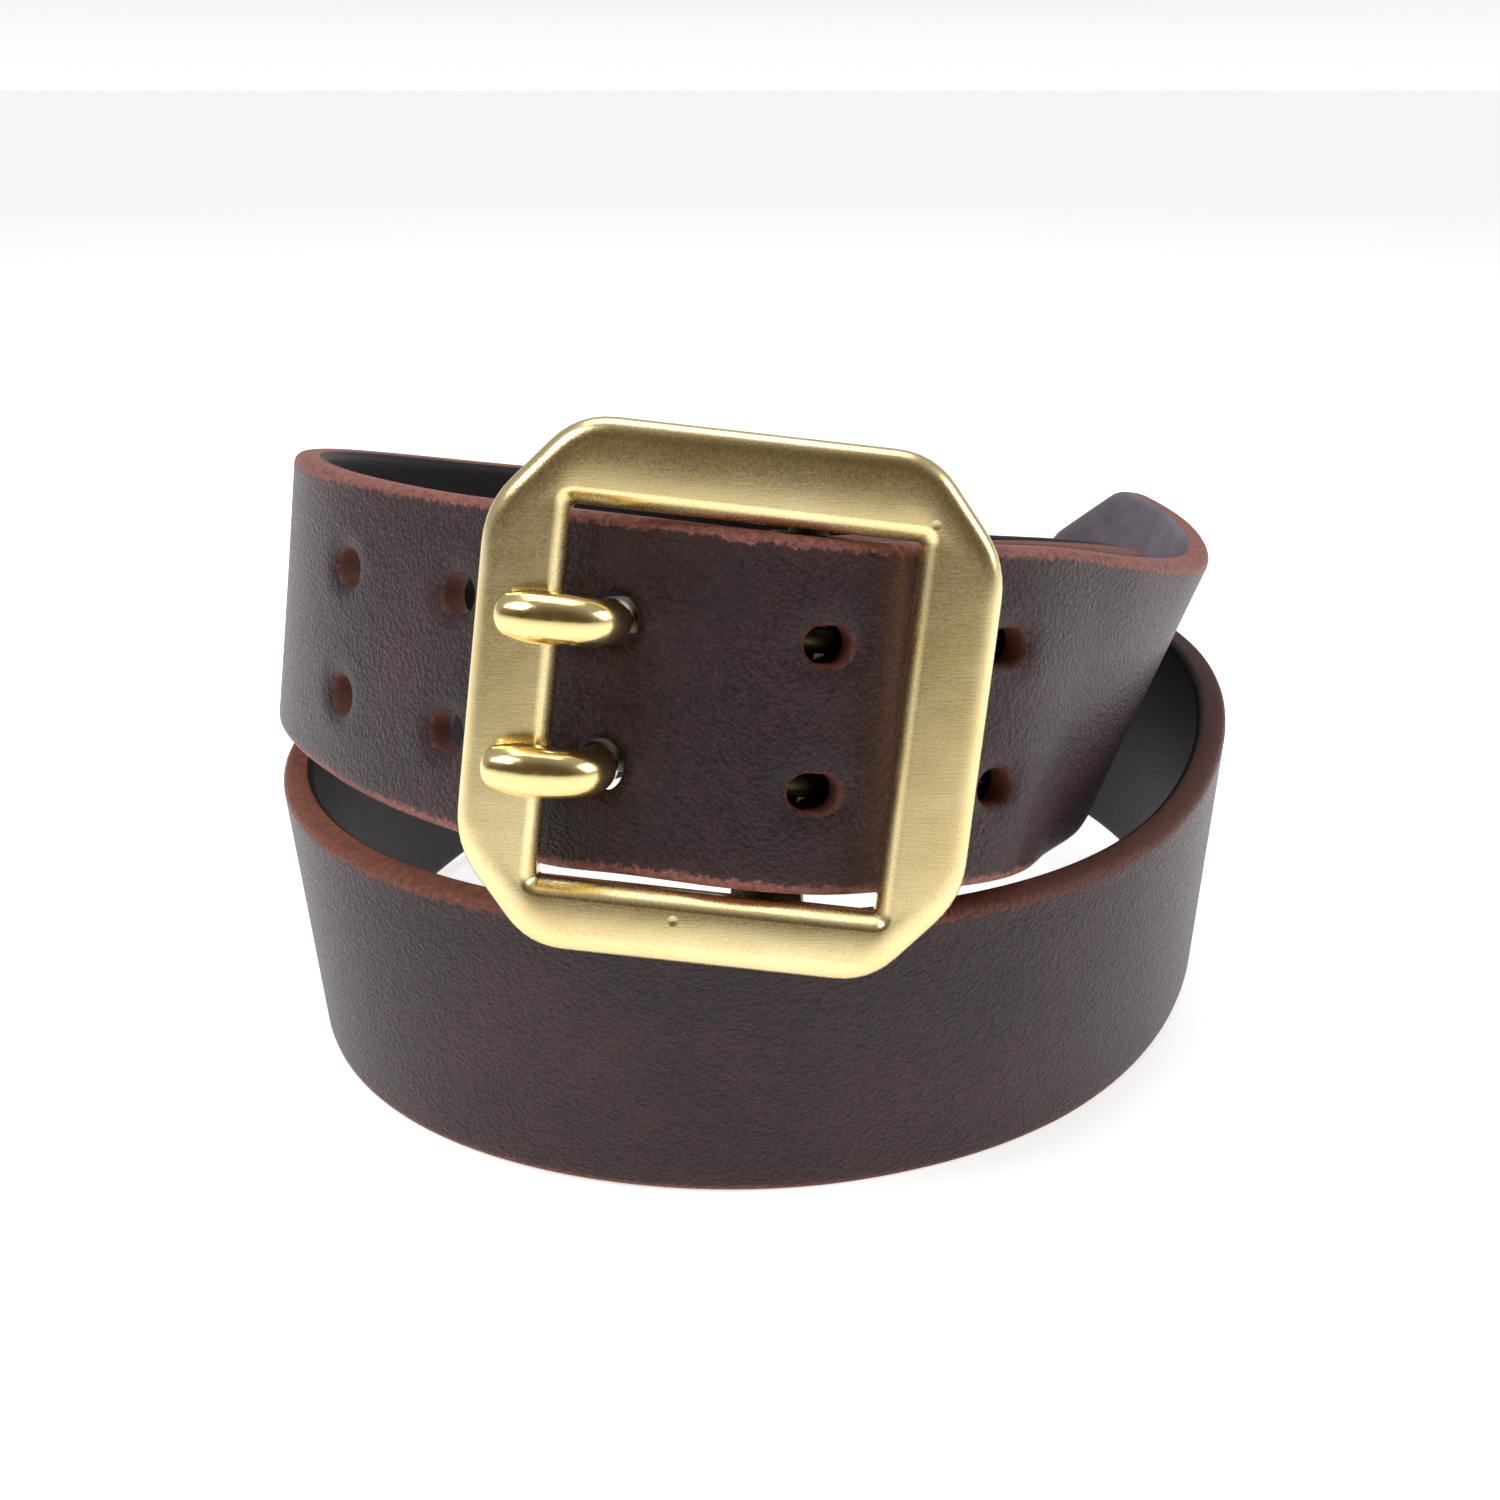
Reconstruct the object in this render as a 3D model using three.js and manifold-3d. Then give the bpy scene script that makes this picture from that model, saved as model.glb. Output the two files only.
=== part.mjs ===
// A leather belt with a two-prong garrison buckle, buckled and wound in two turns, standing on edge.
// Millimetres, +Z up. The buckle faces -Y. The origin is under the middle of the belt, on the surface it stands on.
import * as THREE from 'three';
import { mergeVertices } from 'three/addons/utils/BufferGeometryUtils.js';
import Module from 'manifold-3d';

// ---- Driving dimensions ----

const strapWidth = 40;
const strapThickness = 4.2;
const foldThickness = 2.4; // the leather is skived where it turns round the bar
const flapThickness = 3;
const flapLength = 34;

const holeColumns = 5;
const holePitch = 23.6;
const holeRowSpacing = 16.6;
const holeSize = [5.5, 4.4]; // along and across the strap
const usedHoleSize = [8.6, 6.3]; // the pair that the prongs have stretched
const usedColumn = 2; // counted from the buckle end, the first being 0
const usedHoleAlong = -13.7; // where the used pair lies, in the buckle's own axes
const usedHolePull = 0.9; // how far the strap's pull has moved that pair towards the bar's far side
const tipClip = [12, 12]; // the tip's two corners are cut off at an angle

const frameWidth = 57.2;
const frameHeight = 59.4;
const frameThickness = 4.5;
const windowWidth = 38.2;
const windowHeight = 41.6;
const windowDrop = 0.8; // the window lies this far below the middle of the frame
const frameClip = [9.2, 10.8];
const frameCentre = [-2.5, -72.5, 67.6]; // the middle of the frame's front face
const frameLean = 12.8; // degrees that its top leans back
const frameRoll = 6.4; // degrees that its right side drops

const barRadius = 2.3;
const barAlong = 7;
const barDepth = -6.6; // behind the frame's back face
const earThickness = 2.8;
const earInnerGap = 0.2; // from the window's edge to the ear's inner face

const prongLoopWire = 1.55; // radius of the loop that turns round the bar
const prongRow = 0.6; // how far the prongs lie below the middle of the frame
const slotWidth = 4.6;

const postRadius = 2.3;
const postHeadRadius = 4;
const postHeadThickness = 1;
const screwHeadRadius = 3.2;
const screwRadius = 1.4;
const screwColumns = [17, 28.5]; // from the bar, along the strap
const screwRowSpacing = 25;

const clearance = 0.3; // between pieces that touch on the real belt
const flapGap = 1;
const tailGap = 1.8; // between the strap's tail and the layer that it lies over

// ---- Materials ----

function finish(color, roughness, metalness) {
  return new THREE.MeshStandardMaterial({ color, roughness, metalness });
}
const leather = finish(0x3f2c2a, 0.5, 0);
const brass = finish(0xc2a55a, 0.35, 1);
const polishedBrass = finish(0xd3b765, 0.2, 1);
const screwBrass = finish(0xb89a52, 0.4, 1);

// ---- The buckle's own axes ----
// along: to the wearer's left, which is to the right in front view. up: across the strap. out: away from the body.
// The origin is in the middle of the frame's back face.

const lean = THREE.MathUtils.degToRad(frameLean);
const roll = THREE.MathUtils.degToRad(frameRoll);
const tilt = new THREE.Matrix4().makeRotationX(-lean).multiply(new THREE.Matrix4().makeRotationY(roll));
const alongAxis = new THREE.Vector3(1, 0, 0).applyMatrix4(tilt);
const upAxis = new THREE.Vector3(0, 0, 1).applyMatrix4(tilt);
const outAxis = new THREE.Vector3(0, -1, 0).applyMatrix4(tilt);
const buckleMatrix = new THREE.Matrix4().makeBasis(alongAxis, upAxis, outAxis);
buckleMatrix.setPosition(new THREE.Vector3(...frameCentre).addScaledVector(outAxis, -frameThickness));

function fromBuckle(along, up, out) {
  return new THREE.Vector3(along, up, out).applyMatrix4(buckleMatrix);
}

// ---- The strap's route ----
// It runs along the middle of the leather, from the bar at the back of the buckle, down and once round inside,
// round again as the lower turn, up behind to the upper turn, through the buckle and on to the tip.

// Each stop of a turn: angle round the belt's middle in degrees, radius, height, outward lean of the top in degrees.
const lowerTurn = [
  [-30, 50.2, 53.5, 12], [-8, 50.6, 48.5, 16], [15, 52.8, 43.8, 16], [37, 54.3, 39.5, 13], [60, 58.6, 35.5, 7],
  [90, 62.8, 30.3, 3], [135, 62.9, 24, 2.5], [158, 62.2, 21.5, 2.5], [180, 64.8, 20, 3.6],
  [225, 68.3, 19.8, 5], [270, 66.3, 19.8, 5.5], [315, 66, 19.9, 6.3], [345, 67.5, 22.5, 3],
  [375, 72, 26, 3], [405, 73.3, 29.3, 2], [450, 72.6, 38, 0], [495, 70, 49, -5],
  [540, 66.6, 61, -8.9], [570, 62.7, 64.5, -9],
];
// Through the buckle, in the buckle's own axes: along, up, out.
const throughBuckle = [
  [-33.6, -0.8, -16.5], [-27.6, -0.75, -11.4], [-21, -0.7, -6.6], [-13.8, -0.65, -2.4], [-5.8, -0.65, 0.5],
  [2.7, -0.65, 1.8], [11.2, -0.6, 0.8], [19.4, -0.2, -3.1], [26.9, 0.3, -6.6], [33.6, 0.8, -11.7],
];
const tail = [
  [672, 59.7, 57.2, 6], [688, 57, 53.2, 12], [704, 57.2, 50.3, 18.5], [720, 59.3, 49.3, 20],
  [738, 61.8, 49.6, 19], [757, 63.3, 50.8, 17],
];

function fromTurn([angle, radius, height]) {
  const a = THREE.MathUtils.degToRad(angle);
  return new THREE.Vector3(radius * Math.cos(a), radius * Math.sin(a), height);
}

// A natural cubic spline through rows of numbers, each at its knot. It returns the value and the slope at a place.
function spline(knots, rows) {
  const last = knots.length - 1;
  const width = rows[0].length;
  const gap = (i) => knots[i + 1] - knots[i];
  const bend = knots.map(() => new Array(width).fill(0));
  const weight = knots.map(() => 0);
  for (let i = 1; i < last; i++) {
    const pivot = 2 * (gap(i - 1) + gap(i)) - gap(i - 1) * weight[i - 1];
    weight[i] = gap(i) / pivot;
    for (let k = 0; k < width; k++) {
      const turn = (rows[i + 1][k] - rows[i][k]) / gap(i) - (rows[i][k] - rows[i - 1][k]) / gap(i - 1);
      bend[i][k] = (6 * turn - gap(i - 1) * bend[i - 1][k]) / pivot;
    }
  }
  for (let i = last - 1; i > 0; i--) {
    for (let k = 0; k < width; k++) bend[i][k] -= weight[i] * bend[i + 1][k];
  }
  return (place) => {
    let i = 0;
    while (i < last - 1 && place > knots[i + 1]) i++;
    const h = gap(i);
    const a = knots[i + 1] - place;
    const b = place - knots[i];
    const value = [];
    const slope = [];
    for (let k = 0; k < width; k++) {
      const p = rows[i][k] / h - (bend[i][k] * h) / 6;
      const q = rows[i + 1][k] / h - (bend[i + 1][k] * h) / 6;
      value.push((bend[i][k] * a ** 3 + bend[i + 1][k] * b ** 3) / (6 * h) + p * a + q * b);
      slope.push((bend[i + 1][k] * b * b - bend[i][k] * a * a) / (2 * h) - p + q);
    }
    return { value, slope };
  };
}

// The strap's frame for a direction and a lean: across is over its width, outward is out of its grain side.
function strapAxes(direction, leanDegrees) {
  const upright = new THREE.Vector3(0, 0, 1).addScaledVector(direction, -direction.z).normalize();
  const outward = new THREE.Vector3().crossVectors(direction, upright);
  const angle = THREE.MathUtils.degToRad(leanDegrees);
  const across = upright.clone().multiplyScalar(Math.cos(angle)).addScaledVector(outward, Math.sin(angle));
  return { direction, across, outward: new THREE.Vector3().crossVectors(direction, across) };
}

// The lean that sets the strap's width parallel to the buckle's own up axis.
function leanInBuckle(direction) {
  const { across, outward } = strapAxes(direction, 0);
  return THREE.MathUtils.radToDeg(Math.atan2(upAxis.dot(outward), upAxis.dot(across)));
}

// A route through stops, by the distance along it. A stop with no lean follows the buckle.
function route(stops) {
  const knots = [0];
  for (let i = 1; i < stops.length; i++) knots.push(knots[i - 1] + stops[i].point.distanceTo(stops[i - 1].point));
  const line = spline(knots, stops.map((stop) => stop.point.toArray()));
  const directionAt = (place) => new THREE.Vector3(...line(place).slope).normalize();
  const leans = spline(knots, stops.map((stop, i) => [stop.lean ?? leanInBuckle(directionAt(knots[i]))]));
  const at = (place) => {
    const leanHere = leans(place).value[0];
    const point = new THREE.Vector3(...line(place).value);
    return { point, lean: leanHere, ...strapAxes(directionAt(place), leanHere) };
  };
  return { at, knots, length: knots[knots.length - 1] };
}

const turnStop = (stop) => ({ point: fromTurn(stop), lean: stop[3] });
const buckleStop = (stop) => ({ point: fromBuckle(...stop) });

// The upper turn's front and tail come first, because the fold behind them lies parallel to them.
const front = route([...throughBuckle.map(buckleStop), ...tail.map(turnStop)]);

function placeOf(along) {
  let low = 0;
  let high = front.length / 2;
  const local = (place) => front.at(place).point.applyMatrix4(buckleMatrix.clone().invert()).x;
  while (high - low > 0.001) {
    const middle = (low + high) / 2;
    if (local(middle) < along) low = middle;
    else high = middle;
  }
  return low;
}

// A layer behind the tail, at a depth under the middle of the tail's leather.
// Heading is -1 if it runs the other way.
function behindTail(distanceFromBar, depth, heading) {
  const { point, lean: tailLean, outward } = front.at(placeOf(barAlong) + distanceFromBar);
  return { point: point.addScaledVector(outward, -depth), lean: heading * tailLean };
}

const bendRadius = barRadius + clearance + foldThickness / 2;
const mainDepth = strapThickness + tailGap;
const flapDepth = mainDepth + (strapThickness + flapThickness) / 2 + flapGap;

// The flap's end, the half turn round the bar's near side, and the layer that leads away under the tail.
const flapStops = [flapLength, 24, 14].map((distance) => behindTail(distance, flapDepth, -1));
flapStops.push(behindTail(7, flapDepth + 1.1, -1));
const bendStops = [-80, -100, -120, -140, -160, -180, -200, -220, -240, -260, -280].map((angle) => {
  const a = THREE.MathUtils.degToRad(angle);
  return buckleStop([barAlong + bendRadius * Math.cos(a), -0.6, barDepth + bendRadius * Math.sin(a)]);
});
const mainStops = [14, 24, 33, 41].map((distance) => behindTail(distance, mainDepth, 1));
mainStops.unshift(behindTail(7, mainDepth - 1, 1));

const strapRoute = route([
  ...flapStops, ...bendStops, ...mainStops,
  ...lowerTurn.map(turnStop), ...throughBuckle.map(buckleStop), ...tail.map(turnStop),
]);
const bendPlace = strapRoute.knots[flapStops.length + 5];
const stopsBefore = flapStops.length + bendStops.length + mainStops.length + lowerTurn.length;
const throughPlace = strapRoute.knots[stopsBefore];

// ---- Solids and cuts ----

const wasm = await Module();
wasm.setup();

function solid(geometry) {
  const bare = geometry.index ? geometry.clone() : geometry;
  bare.deleteAttribute('normal');
  bare.deleteAttribute('uv');
  const merged = mergeVertices(bare, 1e-4);
  return new wasm.Manifold(new wasm.Mesh({
    numProp: 3,
    vertProperties: new Float32Array(merged.attributes.position.array),
    triVerts: new Uint32Array(merged.index.array),
  }));
}

function geometryOf(body) {
  const mesh = body.getMesh();
  const geometry = new THREE.BufferGeometry();
  geometry.setAttribute('position', new THREE.BufferAttribute(new Float32Array(mesh.vertProperties), 3));
  geometry.setIndex(new THREE.BufferAttribute(new Uint32Array(mesh.triVerts), 1));
  geometry.computeVertexNormals();
  return geometry;
}

function subtractAll(body, cutters) {
  return cutters.reduce((left, cutter) => left.subtract(solid(cutter)), body);
}

function oval(length, height) {
  const shape = new THREE.Shape();
  const r = height / 2;
  const straight = length / 2 - r;
  shape.absarc(straight, 0, r, -Math.PI / 2, Math.PI / 2, false);
  shape.absarc(-straight, 0, r, Math.PI / 2, (3 * Math.PI) / 2, false);
  shape.closePath();
  return shape;
}

// ---- Strap ----

// The leather's thickness: full along the belt, skived round the bar and thinner again in the flap.
function thicknessAt(place) {
  const pastBend = place - bendPlace;
  const fade = THREE.MathUtils.smoothstep(Math.abs(pastBend), 7, 15);
  return THREE.MathUtils.lerp(foldThickness, pastBend < 0 ? flapThickness : strapThickness, fade);
}

function strapSections() {
  const places = [0];
  while (places[places.length - 1] < strapRoute.length) {
    const place = places[places.length - 1];
    const nearBend = Math.abs(place - bendPlace) < 11;
    const nearBuckle = Math.abs(place - throughPlace - 36) < 40;
    places.push(place + (nearBend ? 1.6 : nearBuckle ? 4.5 : 7));
  }
  places[places.length - 1] = strapRoute.length;
  return places;
}

function bentStrap() {
  const places = strapSections();
  const count = places.length - 1;
  const geometry = new THREE.BoxGeometry(count, 1, 1, count, 1, 1);
  const position = geometry.attributes.position;
  for (let i = 0; i < position.count; i++) {
    const place = places[Math.round(position.getX(i) + count / 2)];
    const { point, across, outward } = strapRoute.at(place);
    point.addScaledVector(across, position.getY(i) * strapWidth);
    point.addScaledVector(outward, position.getZ(i) * thicknessAt(place));
    position.setXYZ(i, point.x, point.y, point.z);
  }
  return geometry;
}

// A cutter standing through the strap at a place, made from an outline drawn along and across it.
function throughStrap(shape, place, up, depth = strapThickness + 0.8) {
  const geometry = new THREE.ExtrudeGeometry(shape, { depth, bevelEnabled: false, curveSegments: 6 });
  geometry.translate(0, 0, -depth / 2);
  const { point, direction, across, outward } = strapRoute.at(place);
  point.addScaledVector(across, up);
  return geometry.applyMatrix4(new THREE.Matrix4().makeBasis(direction, across, outward).setPosition(point));
}

const usedHolePlace = throughPlace + placeOf(usedHoleAlong);

function beltHoles() {
  const cutters = [];
  for (let column = 0; column < holeColumns; column++) {
    const size = column === usedColumn ? usedHoleSize : holeSize;
    const regular = usedHolePlace + usedHolePull + (column - usedColumn) * holePitch;
    const place = column === usedColumn ? usedHolePlace : regular;
    for (const side of [-1, 1]) {
      cutters.push(throughStrap(oval(...size), place, (side * holeRowSpacing) / 2));
    }
  }
  return cutters;
}

// Two slots in the fold let the prongs' loops reach the bar.
function prongSlots() {
  const reach = barRadius + 2 * clearance + 2 * prongLoopWire;
  return [-1, 1].map((side) => {
    const slot = new THREE.CylinderGeometry(reach, reach, slotWidth, 32);
    return slot.translate(barAlong, (side * holeRowSpacing) / 2 - prongRow, barDepth);
  });
}

function clippedTip() {
  const [along, across] = tipClip;
  return [-1, 1].map((side) => {
    const corner = new THREE.Shape();
    corner.moveTo(1, side * 1);
    corner.lineTo(-along, side * 1);
    corner.lineTo(-along, 0);
    corner.lineTo(0, -side * across);
    corner.lineTo(1, -side * across);
    corner.closePath();
    return throughStrap(corner, strapRoute.length - 0.01, (side * strapWidth) / 2);
  });
}

const screwSpots = [];
for (const distance of screwColumns) {
  for (const side of [1, -1]) screwSpots.push({ distance, up: (side * screwRowSpacing) / 2 });
}

// A screw's own axes at its spot: it stands square through both layers of the fold.
function screwMatrix({ distance, up }) {
  const { point, direction, across, outward } = front.at(placeOf(barAlong) + distance);
  point.addScaledVector(outward, -mainDepth + strapThickness / 2).addScaledVector(across, up);
  return new THREE.Matrix4().makeBasis(direction, across, outward).setPosition(point);
}

const foldStack = strapThickness + flapGap + flapThickness;

function roundCutter(radius, from, to) {
  const cutter = new THREE.CylinderGeometry(radius, radius, to - from, 20);
  return cutter.rotateX(Math.PI / 2).translate(0, 0, (from + to) / 2);
}

// Each spot has a bore through both layers and a flat seat pressed into the leather for either head.
function screwHoles() {
  return screwSpots.flatMap((spot) => [
    roundCutter(postRadius + clearance, -foldStack - 0.6, 0.6),
    roundCutter(postHeadRadius + clearance, 0, 1.5),
    roundCutter(screwHeadRadius + clearance, -foldStack - 2.5, -foldStack),
  ].map((cutter) => cutter.applyMatrix4(screwMatrix(spot))));
}

function strapGeometry() {
  const table = new THREE.BoxGeometry(400, 400, 10).translate(0, 0, -5);
  const slots = prongSlots().map((box) => box.applyMatrix4(buckleMatrix));
  return geometryOf(subtractAll(solid(bentStrap()), [
    table, ...beltHoles(), ...slots, ...clippedTip(), ...screwHoles(),
  ]));
}

// ---- Buckle ----

function clippedOutline(target, width, height, [clipAlong, clipUp], round) {
  const a = width / 2;
  const b = height / 2;
  const corners = [
    [-a, b - clipUp], [-a + clipAlong, b], [a - clipAlong, b], [a, b - clipUp],
    [a, -b + clipUp], [a - clipAlong, -b], [-a + clipAlong, -b], [-a, -b + clipUp],
  ].map(([x, y]) => new THREE.Vector2(x, y));
  corners.forEach((corner, i) => {
    const before = corners[(i + 7) % 8];
    const after = corners[(i + 1) % 8];
    const start = corner.clone().add(before.clone().sub(corner).setLength(round));
    const end = corner.clone().add(after.clone().sub(corner).setLength(round));
    if (i === 0) target.moveTo(start.x, start.y);
    else target.lineTo(start.x, start.y);
    target.quadraticCurveTo(corner.x, corner.y, end.x, end.y);
  });
  target.closePath();
  return target;
}

function rectangle(width, height, rise) {
  const path = new THREE.Path();
  path.moveTo(-width / 2, rise - height / 2);
  path.lineTo(width / 2, rise - height / 2);
  path.lineTo(width / 2, rise + height / 2);
  path.lineTo(-width / 2, rise + height / 2);
  path.closePath();
  return path;
}

// An ear stands on the back of the frame and holds one end of the bar. Its foot is sunk into the frame.
function ear(side) {
  const tongue = new THREE.Shape();
  const r = barRadius + 1.9;
  tongue.moveTo(r, -1);
  tongue.lineTo(r, -barDepth);
  tongue.absarc(0, -barDepth, r, 0, Math.PI, false);
  tongue.lineTo(-r, -1);
  tongue.closePath();
  const bore = new THREE.Path().absarc(0, -barDepth, barRadius + clearance / 2, 0, 2 * Math.PI, false);
  tongue.holes.push(bore);
  const geometry = new THREE.ExtrudeGeometry(tongue, { depth: earThickness, bevelEnabled: false, curveSegments: 10 });
  geometry.rotateX(-Math.PI / 2);
  const inner = windowHeight / 2 + earInnerGap;
  return geometry.translate(barAlong, (side > 0 ? inner : -inner - earThickness) - windowDrop, 0);
}

function frameGeometry() {
  const bevel = 1.1;
  const outline = clippedOutline(
    new THREE.Shape(), frameWidth - 2 * bevel, frameHeight - 2 * bevel, frameClip, 3,
  );
  outline.holes.push(rectangle(windowWidth + 2 * bevel, windowHeight + 2 * bevel, -windowDrop));
  const plate = new THREE.ExtrudeGeometry(outline, {
    depth: frameThickness - 2 * bevel,
    bevelThickness: bevel,
    bevelSize: bevel,
    bevelSegments: 3,
    curveSegments: 4,
  });
  plate.translate(0, 0, bevel);
  return geometryOf(solid(plate).add(solid(ear(1))).add(solid(ear(-1))));
}

function barGeometry() {
  const length = windowHeight + 2 * (earInnerGap + earThickness);
  const bar = new THREE.CylinderGeometry(barRadius, barRadius, length, 24);
  return bar.translate(barAlong, -windowDrop, barDepth);
}

// ---- Prongs ----

// The middle line of a prong, from its tip over the frame, down through the strap and round the bar.
function prongLine() {
  const loop = barRadius + clearance + prongLoopWire;
  const points = [
    [-25.8, 7.2], [-22.1, 7.75], [-18.1, 7.75], [-14.9, 6.2], [-13.9, 2.8], [-13.9, -2],
    [-14, -6], [-12.5, -9.4], [-8, -10.6], [-1.8, -10.75],
  ];
  const middle = points.map(([along, out]) => new THREE.Vector3(along, 0, out));
  for (let angle = -100; angle <= 125; angle += 25) {
    const a = THREE.MathUtils.degToRad(angle);
    middle.push(new THREE.Vector3(barAlong + loop * Math.cos(a), 0, barDepth + loop * Math.sin(a)));
  }
  return new THREE.CatmullRomCurve3(middle, false, 'centripetal');
}

// The prong's radius against the distance from its tip: a blunt bulb, a waist over the frame's edge, a thin loop.
const prongProfile = [
  [0, 0], [0.25, 1.1], [0.9, 1.9], [2, 2.5], [4, 2.9], [7, 2.9], [10, 2.7], [13, 2.5], [20, 2.4],
  [26, 2.1], [33, 1.8], [38, 1.6], [42, prongLoopWire],
];

function prongGeometry() {
  const line = prongLine();
  const length = line.getLength();
  const outline = prongProfile.map(([place, radius]) => new THREE.Vector2(radius, place));
  for (let place = 44; place < length - 0.4; place += 2) outline.push(new THREE.Vector2(prongLoopWire, place));
  outline.push(new THREE.Vector2(prongLoopWire, length), new THREE.Vector2(0, length));
  const dense = [];
  outline.forEach((point, i) => {
    const next = outline[i + 1];
    dense.push(point);
    if (!next || point.x === 0 || next.x === 0) return;
    const steps = Math.floor((next.y - point.y) / 2);
    for (let k = 1; k < steps; k++) dense.push(point.clone().lerp(next, k / steps));
  });
  const geometry = new THREE.LatheGeometry(dense, 14);
  const position = geometry.attributes.position;
  const across = new THREE.Vector3(0, 1, 0);
  for (let i = 0; i < position.count; i++) {
    const share = THREE.MathUtils.clamp(position.getY(i) / length, 0, 1);
    const point = line.getPointAt(share);
    const side = new THREE.Vector3().crossVectors(across, line.getTangentAt(share)).negate();
    point.addScaledVector(side, position.getX(i)).addScaledVector(across, position.getZ(i));
    position.setXYZ(i, point.x, point.y, point.z);
  }
  return geometryOf(solid(geometry));
}

// ---- Screw posts and screws, which hold the fold shut ----

function latheAboutZ(points) {
  return new THREE.LatheGeometry(points.map(([r, z]) => new THREE.Vector2(r, z)), 16).rotateX(Math.PI / 2);
}

// The post's head lies under the tail. Its barrel is open at the body side and takes the screw.
function postGeometry() {
  const under = clearance;
  const end = -foldStack;
  return latheAboutZ([
    [0, under + postHeadThickness], [postHeadRadius - 0.4, under + postHeadThickness],
    [postHeadRadius, under + postHeadThickness - 0.4], [postHeadRadius, under], [postRadius, under],
    [postRadius, end], [screwRadius + clearance, end], [screwRadius + clearance, -0.6], [0, -0.6],
  ].reverse());
}

function screwGeometry() {
  const seat = -foldStack - clearance;
  const body = latheAboutZ([
    [0, -1.2], [screwRadius, -1.2], [screwRadius, seat], [screwHeadRadius, seat],
    [screwHeadRadius, seat - 0.8], [screwHeadRadius - 0.5, seat - 1.3], [0, seat - 1.5],
  ].reverse());
  const slot = new THREE.BoxGeometry(7, 1.1, 1.2).translate(0, 0, seat - 1.5);
  return geometryOf(solid(body).subtract(solid(slot)));
}

// ---- Assembly ----

const belt = new THREE.Group();

function add(parent, name, geometry, material, matrix) {
  const mesh = new THREE.Mesh(geometry, material);
  mesh.name = name;
  if (matrix) mesh.applyMatrix4(matrix);
  parent.add(mesh);
  return mesh;
}

add(belt, 'strap', strapGeometry(), leather);

const buckle = new THREE.Group();
buckle.applyMatrix4(buckleMatrix);
belt.add(buckle);
add(buckle, 'buckle_frame', frameGeometry(), brass);
add(buckle, 'buckle_bar', barGeometry(), brass);
for (const [name, side] of [['prong_upper', 1], ['prong_lower', -1]]) {
  const prong = add(buckle, name, prongGeometry(), polishedBrass);
  prong.position.y = (side * holeRowSpacing) / 2 - prongRow;
}

screwSpots.forEach((spot, i) => {
  add(belt, `screw_post_${i + 1}`, postGeometry(), screwBrass, screwMatrix(spot));
  add(belt, `screw_${i + 1}`, screwGeometry(), screwBrass, screwMatrix(spot));
});

// The origin goes under the middle of the whole belt.
belt.updateMatrixWorld(true);
const bounds = new THREE.Box3().setFromObject(belt, true);
const middle = bounds.getCenter(new THREE.Vector3());
belt.position.set(-middle.x, -middle.y, -bounds.min.z);

export default belt;
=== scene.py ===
"""A leather belt with a two-prong garrison buckle, buckled and wound in two turns."""

import bpy
import bmesh
import math
import numpy as np
from collections import namedtuple
from bpy.props import FloatProperty, FloatVectorProperty, PointerProperty
from mathutils import Matrix, Vector
from mathutils.geometry import delaunay_2d_cdt


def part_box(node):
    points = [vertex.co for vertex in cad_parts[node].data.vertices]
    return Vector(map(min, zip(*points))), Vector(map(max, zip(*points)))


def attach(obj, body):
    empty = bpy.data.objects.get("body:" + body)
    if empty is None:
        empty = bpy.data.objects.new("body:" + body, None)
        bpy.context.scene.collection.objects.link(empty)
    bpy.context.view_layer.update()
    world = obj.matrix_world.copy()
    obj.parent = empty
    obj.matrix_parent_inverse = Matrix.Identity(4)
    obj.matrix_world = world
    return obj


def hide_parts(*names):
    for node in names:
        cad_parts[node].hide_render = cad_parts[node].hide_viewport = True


bl_info = {
    "name": "Leather Belt",
    "version": (1, 0, 0),
    "blender": (4, 5, 0),
    "location": "View3D > Sidebar > Belt",
    "description": "Builds a coiled leather belt with a brass two-prong buckle",
    "category": "Add Mesh",
}

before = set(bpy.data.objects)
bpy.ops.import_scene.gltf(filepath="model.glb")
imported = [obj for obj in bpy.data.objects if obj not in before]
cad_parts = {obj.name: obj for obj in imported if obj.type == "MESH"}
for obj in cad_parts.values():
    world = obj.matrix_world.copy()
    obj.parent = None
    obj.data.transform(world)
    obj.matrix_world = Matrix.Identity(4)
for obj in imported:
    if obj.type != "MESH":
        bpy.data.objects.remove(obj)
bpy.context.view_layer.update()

MM = 0.001

# The strap and its fold, in millimetres
STRAP_WIDTH = 40.0
HALF_WIDTH = STRAP_WIDTH / 2
STRAP_THICKNESS = 4.2
FOLD_THICKNESS = 2.4
FLAP_THICKNESS = 3.0
TAIL_GAP = 1.8
FLAP_GAP = 1.0
CLEARANCE = 0.3
BEND_DROP = 0.6
TIP_CLIP = 12
CORNER_ROUNDING = 2.0

# Its holes. The prongs have pulled the used pair along, out of its column
HOLE_PAIRS = 5
USED_COLUMN = 2
HOLE_PITCH = 23.6
HOLE_SIZE = (5.5, 4.4)
HOLE_ROUNDING = 0.95
USED_HOLE_SIZE = (7.8, 6.1)
USED_HOLE_ALONG = -14.1
USED_HOLE_PULL = 1.35
SLOT_SIZE = (23.4, 4.6)
SCREW_DISTANCES = (17, 28.5)
SCREW_OFFSET = 12.5
SCREW_HOLE = 5.2

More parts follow.
